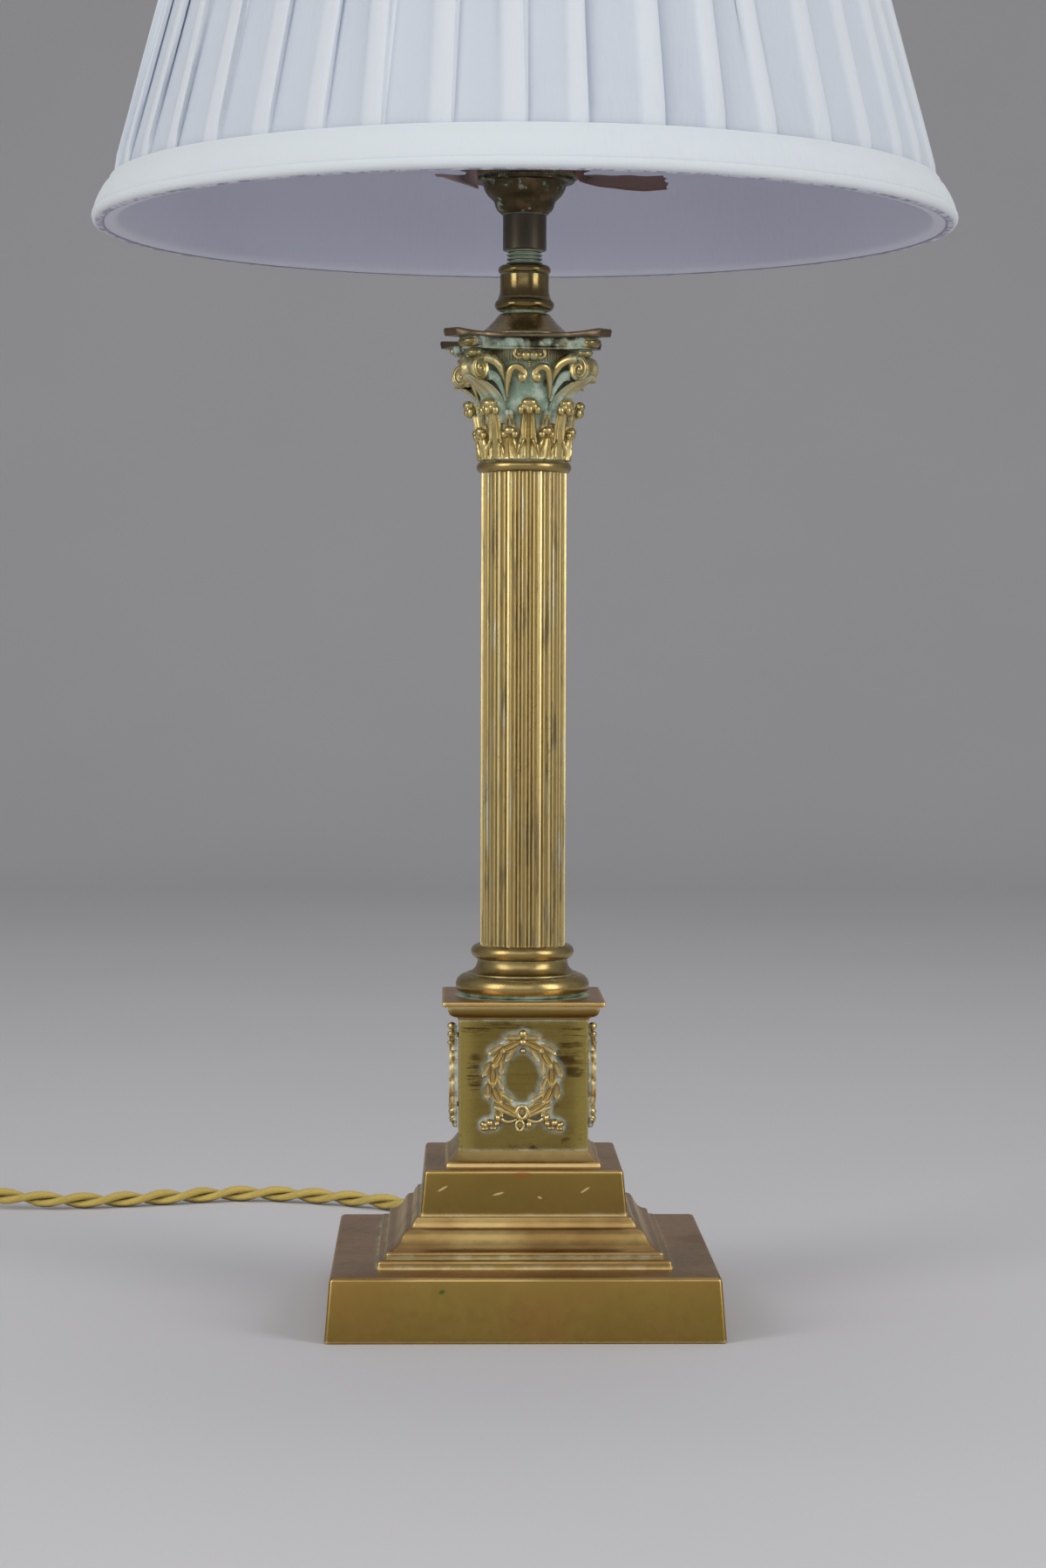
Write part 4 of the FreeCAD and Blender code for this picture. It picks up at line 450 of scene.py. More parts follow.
def woven(name, colour, shadow, thread=0.32, sheen=0.25, fold=5.0, depth=0.22, inner=None,
          pleat=0.0, end=None):
    """Plain-woven cloth on the piece's own map, whose units are metres of cloth, with painted
    shade in its folds. inner is the pair of colours of what lies low at the rim and inside its
    edge; the second is darkened as painted shade on the flat underside. A pleat is paler where
    its layers lie over each other, and darker on its single layer, partly its own tone and partly
    painted shade, with a painted shadow line past each fold edge. end is the tone of the part
    past X = -15 mm."""
    finish = Finish(name)
    across, along, _ = finish.axes(finish.node("ShaderNodeTexCoord", None, None, "UV"))
    turns = 2 * math.pi / (thread * MM)
    warp = (across * turns).sine()
    weft = (along * turns).sine()
    weave = warp * weft * 0.5 + 0.5
    slub = finish.noise(1.0, 3.0, 0.6, finish.vector(across * 900, along * 120, 0.0))
    cloud = finish.noise(16.0, 3.0)
    # dark is painted shade in folds and creases from the occlusion mask, with random cloud, slub
    # and weave tone.
    crevice = finish.crevice(fold)
    dark = (crevice * 0.75 + (cloud - 0.5) * 0.3 + (slub - 0.5) * 0.25
            + (weave - 0.5) * 0.1).clamped()
    if pleat:
        share = (across / (pleat * MM)).maths("FRACT", across / (pleat * MM))
        # Painted light: the single layer of a pleat is darker, partly its own tone and partly
        # painted shade, and a painted shadow line runs just past each fold edge.
        single = 1 - share.above(0.6, 0.72)
        fade = finish.noise(1.0, 2.0, 0.5, finish.vector(across * 25, along * 5, 0.0))
        dark = (dark + single * (0.1 + fade * 0.34)
                + (1 - share.above(0.0, 0.09)) * 0.2).clamped()
    shown = finish.mix(dark, colour, shadow)
    if inner:
        level = finish.level() - RIM_LEVEL * MM
        lean = finish.radius() + level * SHADE_SLOPE
        low = 1 - level.above(0.006, 0.008)
        crumple = finish.noise(260.0, 3.0, 0.6)
        lean = lean + (crumple - 0.5) * 0.0016
        folded, plain = inner
        shown = finish.mix((1 - lean.above(0.1518, 0.1526)) * low, shown,
                           finish.mix(crumple.above(0.42, 0.6), folded, srgb(138, 136, 164)))
        # Painted shade: inside the folded edge the flat underside takes the darker second inner
        # colour.
        shown = finish.mix((1 - lean.above(0.1496, 0.1503)) * low, shown, plain)
    if end:
        shown = finish.mix((0.0 - finish.axes(finish.place)[0]).above(0.015, 0.019), shown, end)
    finish.set(Base_Color=shown, Roughness=0.92)
    finish.shader.inputs["Sheen Weight"].default_value = sheen
    finish.shader.inputs["Sheen Roughness"].default_value = 0.5
    finish.shader.inputs["Specular IOR Level"].default_value = 0.2
    return finish.bump(weave * 0.6 + slub * 0.4, 0.3, depth).done()


def flex_cover(name):
    """Braided gold yarn round each strand: u runs round the strand and v along it, in metres."""
    finish = Finish(name)
    around, along, _ = finish.axes(finish.node("ShaderNodeTexCoord", None, None, "UV"))
    left = (around * 2 * math.pi * 9 + along * 3400).sine()
    right = (around * 2 * math.pi * 9 - along * 3400).sine()
    yarn = left.larger(right) * 0.5 + 0.5
    crevice = finish.crevice(2.2)
    fine = finish.noise(500.0, 3.0)
    # dark is painted shade in the hollows between the strands and between the yarns, with random
    # fine tone.
    dark = (crevice * 1.5 - 0.1 + (1 - yarn) * 0.3 + (fine - 0.5) * 0.4).clamped()
    colour = finish.mix(dark, srgb(198, 172, 80), srgb(80, 60, 18))
    finish.set(Base_Color=colour, Roughness=0.42 + (1 - yarn) * 0.25)
    finish.shader.inputs["Sheen Weight"].default_value = 0.15
    return finish.bump(yarn, 0.5, 0.18).done()


def clear_glass(name):
    finish = Finish(name)
    dust = finish.noise(60.0, 3.0)
    finish.set(Base_Color=(0.96, 0.97, 0.96), Roughness=dust * 0.06, IOR=1.45,
               Transmission_Weight=1.0)
    return finish.done()


def make_finishes():
    # pale and bright are glint colours: worn brass and a painted highlight on the edges. A colour
    # after the rough value, as for slab and plate, is the painted reflection on faces that look
    # up.
    pale, bright = (232, 212, 156), (232, 198, 130)
    return {
        "slab": aged_brass("slab brass", (152, 126, 66), (128, 102, 50), bright, 1.0,
                           3.0, 0.31, (188, 148, 104), (0.2, 0.5), 1.7, (0.25, 0.5),
                           rubbed),
        "column": aged_brass("column brass", (228, 210, 152), (190, 168, 112), pale,
                             0.5, 2.4, 0.28, None, (0.5, 0.9), extra=fluted),
        "die": aged_brass("die brass", (150, 132, 72), (120, 100, 50), pale, 1.0, 2.4,
                          0.24, None, (0.12, 0.3), 1.2, (0.25, 0.5), brushed,
                          ((150, 162, 146), (198, 206, 194))),
        "relief": aged_brass("relief brass", (222, 202, 142), (178, 154, 98), pale,
                             1.0, 1.2, 0.24, None, (0.4, 0.7), 0.5, (0.3, 0.55), crusted,
                             ((150, 160, 150), (204, 210, 202))),
        "capital": aged_brass("capital brass", (214, 194, 132), (160, 138, 84),
                              (220, 200, 140), 0.8, 2.0, 0.25, None, (0.5, 0.85), 0.7,
                              (0.5, 0.8), splashed),
        "bell": aged_brass("bell brass", (168, 148, 96), (116, 98, 60),
                           (190, 176, 132), 0.8, 2.4, 0.35, None, (0.5, 0.85),
                           extra=drenched, salts=((138, 160, 138), (190, 206, 190))),
        "turned": aged_brass("turned brass", (180, 158, 102), (132, 110, 66), bright,
                             1.0, 2.2, 0.25, None, (0.25, 0.5)),
        "plate": aged_brass("plate brass", (118, 102, 80), (84, 72, 56),
                            (158, 136, 106), 0.6, 2.6, 0.3, (120, 102, 84),
                            (0.3, 0.6)),
        "trumpet": aged_brass("trumpet brass", (180, 162, 112), (134, 114, 78),
                              (210, 184, 120), 1.0, 2.0, 0.22, None, (0.25, 0.5)),
        "collar": aged_brass("collar brass", (136, 118, 76), (80, 66, 42), bright,
                             1.0, 2.0, 0.15, None, (0.25, 0.5)),
        "holder": aged_brass("holder brass", (108, 98, 82), (66, 59, 50),
                             (150, 134, 104), 0.8, 2.4, 0.34, None, (0.25, 0.6)),
        "dome": aged_brass("dome brass", (84, 74, 52), (48, 42, 30),
                           (132, 116, 82), 0.8, 2.4, 0.36, None, (0.25, 0.6),
                           extra=grimed),
        "thread": aged_brass("thread brass", (140, 136, 108), (94, 96, 78),
                             (164, 176, 152), 1.0, 1.2, 0.5, None, (0.02, 0.2),
                             extra=threaded, salts=((140, 156, 134), (184, 196, 178))),
        "inner_brass": plain_metal("inner brass", srgb(178, 142, 78), 0.35),
        "pin_brass": plain_metal("pin brass", srgb(206, 176, 104), 0.22),
        "steel": plain_metal("plain steel", (0.55, 0.55, 0.56), 0.32),
        "wire": moulded_plastic("coated wire", srgb(226, 224, 218), 0.4),
        "ivory": moulded_plastic("ivory plastic", srgb(226, 220, 202), 0.4),
        "gold": moulded_plastic("gold plastic", srgb(176, 142, 66), 0.32),
        "cover": woven("cover cloth", srgb(212, 217, 222), srgb(158, 168, 188), fold=4.0,
                       pleat=PLEAT_WIDTH),
        # The trim's second inner colour is darkened as painted shade on its flat underside.
        "trim": woven("trim cloth", srgb(212, 218, 221), srgb(176, 180, 196), 0.4, 0.3, 3.0,
                      inner=(srgb(214, 216, 234), srgb(150, 150, 172))),
        "lining": woven("lining cloth", srgb(214, 216, 232), srgb(170, 170, 190), 0.3, 0.2,
                        3.0, 0.1),
        "packing": woven("packing cloth", srgb(126, 94, 82), srgb(86, 62, 54), 0.5, 0.1, 2.5,
                         end=srgb(166, 144, 138)),
        "flex": flex_cover("flex yarn"),
        "glass": clear_glass("bulb glass"),
    }


# ---------------------------------------------------------------- mesh helpers

def linked(name, data):
    """A new object in the scene."""
    thing = bpy.data.objects.new(name, data)
    bpy.context.collection.objects.link(thing)
    return thing


def round_angles(count):
    """Angles in radians that go evenly once round."""
    return [2 * math.pi * step / count for step in range(count)]


def polar(radius, angle, height):
    """A point by its radius, its angle in radians and its height."""
    return Vector((radius * math.cos(angle), radius * math.sin(angle), height))


def limited(value):
    """A number kept between 0 and 1."""
    return min(max(value, 0.0), 1.0)


def piece(name, points, faces, material, sharp=40, body="lamp", maps=None):
    """A mesh piece from points in millimetres. maps gives each point its place on the cloth."""
    mesh = bpy.data.meshes.new(name)
    mesh.from_pydata([Vector(point) * MM for point in points], [], faces)
    mesh.polygons.foreach_set("use_smooth", [True] * len(mesh.polygons))
    if maps:
        layer = mesh.uv_layers.new(name="cloth")
        spots = [maps[loop.vertex_index] for loop in mesh.loops]
        layer.data.foreach_set("uv", [value * MM for spot in spots for value in spot])
    thing = linked(name, mesh)
    mesh.materials.append(material)
    return finished(thing, body, sharp)


def finished(thing, body, sharp=40):
    """Point the faces outwards, keep the sharp edges, and let the piece ride on its body."""
    shape = bmesh.new()
    shape.from_mesh(thing.data)
    bmesh.ops.remove_doubles(shape, verts=shape.verts, dist=1e-7)
    bmesh.ops.recalc_face_normals(shape, faces=shape.faces)
    shape.to_mesh(thing.data)
    shape.free()
    thing.data.set_sharp_from_angle(angle=math.radians(sharp))
    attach(thing, body)
    return thing


def applied(thing):
    """Turn a piece's modifiers into plain mesh."""
    view = bpy.context.evaluated_depsgraph_get()
    mesh = bpy.data.meshes.new_from_object(thing.evaluated_get(view))
    thing.modifiers.clear()
    thing.data = mesh
    return thing


def thickened(thing, thickness, offset):
    """Give a sheet its thickness. An offset of -1 goes inwards, 1 outwards and 0 both ways."""
    modifier = thing.modifiers.new("thick", "SOLIDIFY")
    modifier.thickness = thickness * MM
    modifier.offset = offset
    return applied(thing)


def merged(name, things, body="lamp", sharp=40):
    """Several pieces as one, each with the material it had."""
    shape = bmesh.new()
    materials = []
    for thing in things:
        material = thing.data.materials[0]
        if material not in materials:
            materials.append(material)
        part = bmesh.new()
        part.from_mesh(thing.data)
        part.transform(thing.matrix_world)
        for face in part.faces:
            face.material_index = materials.index(material)
        copy = bpy.data.meshes.new("part")
        part.to_mesh(copy)
        part.free()
        shape.from_mesh(copy)
        bpy.data.meshes.remove(copy)
        bpy.data.objects.remove(thing)
    mesh = bpy.data.meshes.new(name)
    shape.to_mesh(mesh)
    shape.free()
    for material in materials:
        mesh.materials.append(material)
    result = linked(name, mesh)
    mesh.polygons.foreach_set("use_smooth", [True] * len(mesh.polygons))
    mesh.set_sharp_from_angle(angle=math.radians(sharp))
    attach(result, body)
    return result


def grid(rows, columns, close_rows=False, close_columns=False):
    """The faces of a grid of points that is stored row by row."""
    faces = []
    for row in range(rows if close_rows else rows - 1):
        for column in range(columns if close_columns else columns - 1):
            right = (column + 1) % columns
            above = (row + 1) % rows
            faces.append((row * columns + column, row * columns + right,
                          above * columns + right, above * columns + column))
    return faces


def arc(centre, radius, first, last, steps=10):
    """Points of (radius, height) along an arc, with its angles in degrees."""
    points = []
    for step in range(steps + 1):
        angle = math.radians(first + (last - first) * step / steps)
        points.append((centre[0] + radius * math.cos(angle),
                       centre[1] + radius * math.sin(angle)))
    return points


def lathe(name, outline, material, body="lamp", steps=128, sharp=30, node=None):
    """A piece turned about Z from a closed outline of radius and height."""
    points = [polar(radius, angle, height) for angle in round_angles(steps)
              for radius, height in outline]
    made = piece(name, points, grid(steps, len(outline), True, True), material, sharp, body)
    if node:
        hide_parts(node)
    return made


def capped(rings, around):
    """The faces of a tube that is stored ring by ring, with both of its ends closed."""
    last = (rings - 1) * around
    return grid(rings, around, False, True) + [
        tuple(range(around - 1, -1, -1)), tuple(range(last, last + around))]


def carried_frames(path):
    """Frames along a path that turn no more than the path does."""
    path = [Vector(point) for point in path]
    ways = []
    for index in range(len(path)):
        low = path[max(index - 1, 0)]
        high = path[min(index + 1, len(path) - 1)]
        ways.append((high - low).normalized())
    top = UP if abs(ways[0].z) < 0.9 else DEEP
    top = (top - ways[0] * top.dot(ways[0])).normalized()
    frames = []
    for index, way in enumerate(ways):
        if index:
            top = ways[index - 1].rotation_difference(way) @ top
            top = (top - way * top.dot(way)).normalized()
        frames.append((path[index], way.cross(top).normalized(), top))
    return frames


def pebble(centre, radii, turn=None, rows=8, columns=12):
    """Points and faces of an egg-shaped bead."""
    points = []
    for row in range(rows + 1):
        lift = -math.pi / 2 + math.pi * row / rows
        for angle in round_angles(columns):
            spot = Vector((radii[0] * math.cos(lift) * math.cos(angle),
                           radii[1] * math.cos(lift) * math.sin(angle),
                           radii[2] * math.sin(lift)))
            points.append(Vector(centre) + (turn @ spot if turn else spot))
    return points, grid(rows + 1, columns, False, True)


def collected(shapes):
    """Several lists of points and faces as one."""
    points, faces = [], []
    for more_points, more_faces in shapes:
        shift = len(points)
        points += more_points
        faces += [tuple(index + shift for index in face) for face in more_faces]
    return points, faces


# ---------------------------------------------------------------- repeats

class Maker(Tree):
    """A Geometry Nodes tree that is built once and used by many pieces."""

    def __init__(self, name, inputs):
        self.group = bpy.data.node_groups.new(name, "GeometryNodeTree")
        super().__init__(self.group.nodes, self.group.links)
        face = self.group.interface
        face.new_socket("Geometry", in_out="INPUT", socket_type="NodeSocketGeometry")
        for label, kind in inputs:
            face.new_socket(label, in_out="INPUT", socket_type="NodeSocket" + kind)
        face.new_socket("Geometry", in_out="OUTPUT", socket_type="NodeSocketGeometry")
        self.inputs = self.nodes.new("NodeGroupInput")
        self.end = self.nodes.new("NodeGroupOutput")

    def given(self, name):
        return Field(self, self.inputs.outputs[name])

    def finish(self, points, instance, rotation):
        placed = self.node("GeometryNodeInstanceOnPoints", None, {
            "Points": points, "Instance": instance, "Rotation": rotation})
        real = self.node("GeometryNodeRealizeInstances", None, {0: placed})
        real = self.node("GeometryNodeSetMaterial", None, {
            "Geometry": real, "Material": self.given("Material")})
        self.feed(self.end.inputs[0], real)
        return self.group

    def feed(self, socket, value):
        if isinstance(value, Field):
            self.links.new(value.socket, socket)
        else:
            socket.default_value = value


def ring_maker():
    """Copies of a piece, set round the Z axis."""
    maker = Maker("ring of copies", [("Count", "Int"), ("Start", "Float"),
                                     ("Material", "Material")])
    count = maker.given("Count")
    points = maker.node("GeometryNodePoints", None, {"Count": count})
    index = maker.node("GeometryNodeInputIndex")
    angle = maker.given("Start") + index * (2 * math.pi) / count
    turn = maker.vector(0.0, 0.0, angle)
    return maker.finish(points, maker.given("Geometry"), turn)


def oval_maker():
    """Copies of a leaf along an oval in the X and Z plane, each turned along it."""
    maker = Maker("leaves on an oval", [
        ("Count", "Int"), ("From", "Float"), ("To", "Float"), ("Half width", "Float"),
        ("Half height", "Float"), ("Tilt", "Float"), ("Material", "Material")])
    count = maker.given("Count")
    index = maker.node("GeometryNodeInputIndex")
    first, last = maker.given("From"), maker.given("To")
    angle = first + (last - first) * index / (count - 1)
    wide, tall = maker.given("Half width"), maker.given("Half height")
    across = wide * angle.cosine()
    up = tall * angle.sine()
    points = maker.node("GeometryNodePoints", None, {
        "Count": count, "Position": maker.vector(across, 0.0, up)})
    way = up.maths("ARCTAN2", tall * angle.cosine(), wide * angle.sine() * -1.0)
    turn = maker.vector(0.0, maker.given("Tilt") - way, 0.0)
    return maker.finish(points, maker.given("Geometry"), turn)


def repeated(thing, maker, sharp=40, **values):
    """Run a Geometry Nodes tree on a piece and keep what it makes."""
    modifier = thing.modifiers.new("copies", "NODES")
    modifier.node_group = maker
    keys = {item.name: item.identifier for item in maker.interface.items_tree
            if item.in_out == "INPUT"}
    for name, value in values.items():
        modifier[keys[name.replace("_", " ")]] = value
    applied(thing)
    thing.data.set_sharp_from_angle(angle=math.radians(sharp))
    return thing


# ---------------------------------------------------------------- flex

def route_curve(name, route):
    """The smooth line of a flex: a spline that has the route as its control points."""
    data = bpy.data.curves.new(name, "CURVE")
    data.dimensions = "3D"
    data.resolution_u = 16
    spline = data.splines.new("NURBS")
    spline.points.add(len(route) - 1)
    for point, spot in zip(spline.points, route):
        point.co = (*(Vector(spot) * MM), 1.0)
    spline.order_u = 3
    spline.use_endpoint_u = True
    return data


def route_points(name, route, spacing):
    """Points along the spline, an even distance apart, in millimetres."""
    thing = linked(name, route_curve(name, route))
    view = bpy.context.evaluated_depsgraph_get()
    mesh = bpy.data.meshes.new_from_object(thing.evaluated_get(view))
    raw = [vertex.co / MM for vertex in mesh.vertices]
    bpy.data.objects.remove(thing)
    lengths = [0.0]
    for first, second in zip(raw, raw[1:]):
        lengths.append(lengths[-1] + (second - first).length)
    count = round(lengths[-1] / spacing)
    points = []
    at = 0
    for step in range(count + 1):
        want = lengths[-1] * step / count
        while at < len(raw) - 2 and lengths[at + 1] < want:
            at += 1
        share = (want - lengths[at]) / max(lengths[at + 1] - lengths[at], 1e-9)
        points.append(raw[at].lerp(raw[at + 1], min(share, 1.0)))
    return points, lengths[-1]


def twisted_flex(name, route, material):
    """Two yarn-covered strands twisted round each other along a route."""
    spacing = 1.6
    path, length = route_points(name + "_line", route, spacing)
    strand = FLEX_DIAMETER / 4
    around = 10
    shapes, maps = [], []
    frames = carried_frames(path)
    for start in (0.0, math.pi):
        points = []
        for index, (centre, side, top) in enumerate(frames):
            twist = start + 2 * math.pi * index * spacing / FLEX_TWIST
            out = side * math.cos(twist) + top * math.sin(twist)
            middle = centre + out * strand
            for step, angle in enumerate(round_angles(around)):
                spoke = out * math.cos(angle) + (top * math.cos(twist)
                                                 - side * math.sin(twist)) * math.sin(angle)
                points.append(middle + spoke * strand)
                maps.append((step / around * 1000, index * spacing))
        shapes.append((points, capped(len(frames), around)))
    made = piece(name, *collected(shapes), material, 60, maps=maps)
    return made, [point * MM for point in path], length * MM


def coil_route():
    """Control points of the coil: in along the table, up a layer, and out again on top."""
    turns = 2 * COIL_LAYER + 0.5
    reverse = turns / 2
    count = round(turns * COIL_POINTS)
    points = []
    for step in range(count + 1):
        turn = turns * step / count
        radius = COIL_RADIUS - COIL_PITCH * (reverse - abs(turn - reverse))
        climb = limited((turn - COIL_LAYER) / 0.5)
        angle = math.pi * (1 + 2 * turn)
        points.append((COIL_CENTRE[0] + radius * math.cos(angle),
                       COIL_CENTRE[1] + radius * math.sin(angle),
                       FLEX_DIAMETER / 2 + COIL_PITCH * climb ** 2 * (3 - 2 * climb)))
    return points


def make_cords(finishes):
    run, run_path, run_length = twisted_flex("flex_run", RUN_ROUTE, finishes["flex"])
    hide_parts("cord_run")
    route = LEAD_ROUTE + coil_route() + TAIL_ROUTE
    lead, lead_path, lead_length = twisted_flex("flex_lead", route, finishes["flex"])
    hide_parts("cord_lead", "cord_coil", "cord_tail")


# ---------------------------------------------------------------- base and pedestal

def square_ring(half, corner, height, hole=False):
    """Points of a square with rounded corners, or of a circle that has as many points."""
    points = []
    for quarter in range(4):
        turn = Quaternion(UP, math.pi / 2 * quarter)
        spots = [Vector((half, step / 5 * (half - corner), 0)) for step in range(-4, 5)]
        spots += [Vector((half - corner + corner * math.cos(angle),
                          half - corner + corner * math.sin(angle), 0))
                  for angle in (math.pi / 2 * step / 5 for step in range(6))]
        if hole:
            spots = [spot.normalized() * half for spot in spots]
        points += [turn @ spot + UP * height for spot in spots]
    return points


def square_piece(name, node, outline, material, corner=0.8, lift=0.0):
    """A square moulding from a closed outline of half width and height. A third value of
    True in an outline point makes its ring a circle."""
    points = []
    for spot in outline:
        points += square_ring(spot[0], min(corner, spot[0] / 4), spot[1] + lift, len(spot) > 2)
    faces = grid(len(outline), len(points) // len(outline), True, True)
    made = piece(name, points, faces, material, 32)
    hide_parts(node)


def make_pedestal(finishes):
    slab = finishes["slab"]
    outline = [(68.3, 0.0), (68.8, 0.5)] + arc((65.6, 20.9), 1.6, 8, 90, 6)
    outline += [(33.0, PLINTH_HEAD, True), (33.0, 18.5, True), (63.2, 18.5), (63.2, 0.0)]
    square_piece("softened_plinth", "base_plinth", outline, slab, 1.3)
    outline = [(51.2, 0.0)] + arc((50.2, 2.0), 0.8, 0, 90, 4) + [(48.6, 3.0), (48.4, 3.4)]
    outline += arc((47.3, 4.5), 0.9, -40, 80, 5)
    outline += [(46.6, 5.6), (45.4, 6.3), (44.3, 7.2), (43.5, 8.2), (42.9, 9.3), (42.4, 10.3),
                (41.9, 11.2), (41.2, 11.9), (40.3, 12.3), (39.5, 12.5), (39.2, 12.9)]
    outline += [(39.1, 13.3), (38.7, 14.3), (38.0, 15.2)] + arc((37.2, 15.3), 0.7, 20, 90, 4)
    outline += [(32.0, 16.0, True), (32.0, 0.0, True)]
    square_piece("softened_tier", "base_ogee_tier", outline, slab, 0.9, PLINTH_HEAD)
    outline = [(36.3, 0.0)] + arc((33.6, 14.7), 1.3, 5, 90, 6)
    outline += [(ROD_BORE, 16.0, True), (ROD_BORE, 12.0, True), (30.0, 12.0, True),
                (30.0, 0.0, True)]
    square_piece("softened_block", "base_upper_block", outline, slab, 1.1, TIER_HEAD)
    outline = [(27.3, 0.0), (27.2, 0.5)] + arc((26.7, 0.9), 0.4, 0, 90, 3)
    outline += [(26.0, 1.7), (25.2, 2.5), (24.4, 3.5), (23.8, 4.3), (23.2, 5.2),
                (ROD_BORE, 5.2, True), (ROD_BORE, 0.0, True)]
    square_piece("softened_foot", "pedestal_foot", outline, slab, 0.6, BLOCK_HEAD)
    outline = [(22.6, 0.0), (22.9, 0.3), (22.9, 46.1), (22.6, 46.4), (ROD_BORE, 46.4, True),
               (ROD_BORE, 0.0, True)]
    square_piece("softened_die", "pedestal_die", outline, finishes["die"], 0.55, DIE_FOOT)
    outline = [(23.2, 0.0), (23.5, 0.8), (24.4, 1.0), (25.4, 1.4), (26.2, 2.1), (26.6, 3.0),
               (26.8, 3.9), (26.8, 4.8), (ROD_BORE, 4.8, True), (ROD_BORE, 0.0, True)]
    square_piece("softened_cornice", "pedestal_cornice", outline, slab, 0.9, DIE_HEAD)
    outline = [(28.0, 0.0), (28.0, 0.4), (28.5, 0.4), (28.8, 0.7)]
    outline += arc((28.4, 1.5), 0.4, 0, 90, 3) + [(ROD_BORE, 1.9, True), (ROD_BORE, 0.0, True)]
    square_piece("softened_cap", "pedestal_cap_plate", outline, slab, 0.8, CORNICE_HEAD)


# ---------------------------------------------------------------- column

def make_column(finishes):
    per_flute = 16
    outline = []
    for step in range(FLUTES * per_flute):
        share = (step % per_flute) / per_flute
        angle = 2 * math.pi * (step / (FLUTES * per_flute)) - math.pi / 2
        angle -= math.pi / FLUTES
        reach = abs(share - 0.5) / 0.4
        depth = 1.25 * (1 - reach ** 2) ** 0.6 if reach < 1 else 0.0
        outline.append((SHAFT_RADIUS - depth, angle))
    levels = [COLUMN_FOOT, COLUMN_FOOT + 0.3]
    levels += [COLUMN_FOOT + 8 * step for step in range(1, 21)]
    levels += [COLUMN_HEAD - 0.3, COLUMN_HEAD]
    points = [polar(radius, angle, level) for level in levels for radius, angle in outline]
    points += [polar(SHAFT_BORE, angle, level) for level in (COLUMN_HEAD, COLUMN_FOOT)
               for _, angle in outline]
    faces = grid(len(levels) + 2, len(outline), True, True)
    shaft = piece("fluted_shaft", points, faces, finishes["column"], 35)
    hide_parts("column_shaft")

    foot = COLUMN_BASE_FOOT
    outline = [(ROD_BORE, foot), (19.6, foot)]
    outline += arc((20.15, foot + 3.85), 3.85, -90, 90, 16)
    outline += [(20.0, foot + 8.1)]
    outline += arc((20.6, foot + 12.5), 4.4, -97, -187, 12)
    outline += [(16.0, foot + 13.2)]
    outline += arc((15.9, foot + 15.8), 2.6, -90, 90, 12)
    outline += [(12.3, foot + 18.4), (12.3, foot + 23.4), (ROD_BORE, foot + 23.4)]
    lathe("turned_base", outline, finishes["turned"], node="column_base")

    outline = [(SHAFT_BORE, COLUMN_HEAD), (14.6, COLUMN_HEAD)]
    outline += arc((14.95, COLUMN_HEAD + 2.05), 2.05, -90, 90, 14)
    outline += [(SHAFT_BORE, CAPITAL_FOOT)]
    lathe("turned_neck_ring", outline, finishes["turned"], node="neck_ring")


# ---------------------------------------------------------------- capital

def curled_leaf(line, width, ribs, lobes, thick=0.9):
    """A leaf whose middle line is given by radius and height, at the front of the bell. Its
    half width goes by share, ribs run up it, and lobes scallop the edge that hangs over."""
    rows, columns = len(line), 17
    points = []
    for row, (radius, height) in enumerate(line):
        share = row / (rows - 1)
        low, high = line[max(row - 1, 0)], line[min(row + 1, rows - 1)]
        way = Vector((high[0] - low[0], high[1] - low[1])).normalized()
        out = Vector((way.y, -way.x))
        broad = width(share)
        for column in range(columns):
            side = -1 + 2 * column / (columns - 1)
            lobe = abs(math.cos(math.pi * lobes * side / 2))
            hang = max(share - 0.72, 0.0) / 0.28
            rise = 0.42 * math.cos(side * math.pi * ribs) * (1 - hang) + 0.5 * lobe * hang
            rise += 0.35 * math.exp(-(side / 0.15) ** 2) + 0.65 * (1 - side * side) * (1 - hang)
            reach = radius + out.x * rise - 0.5 * side * side * hang
            up = height + out.y * rise - (1.6 * side * side + 0.9 * (1 - lobe)) * hang
            angle = side * broad / max(radius, 1.0)
            points.append(Vector((reach * math.sin(angle), -reach * math.cos(angle), up)))
    faces = grid(rows, columns)
    size = len(points)
    points += [point + Vector((0, thick, -0.2)) for point in points]
    faces += [tuple(index + size for index in reversed(face)) for face in grid(rows, columns)]
    rim = list(range(columns))
    rim += [row * columns + columns - 1 for row in range(1, rows)]
    rim += [(rows - 1) * columns + column for column in range(columns - 2, -1, -1)]
    rim += [row * columns for row in range(rows - 2, 0, -1)]
    for first, second in zip(rim, rim[1:] + rim[:1]):
        faces.append((first, first + size, second + size, second))
    return points, faces


def bezier(points, steps=14):
    """A smooth line through space, pulled by four control points."""
    first, second, third, last = (Vector(point) for point in points)
    line = []
    for step in range(steps + 1):
        share = step / steps
        left = 1 - share
        line.append(first * left ** 3 + second * 3 * left ** 2 * share
                    + third * 3 * left * share ** 2 + last * share ** 3)
    return line


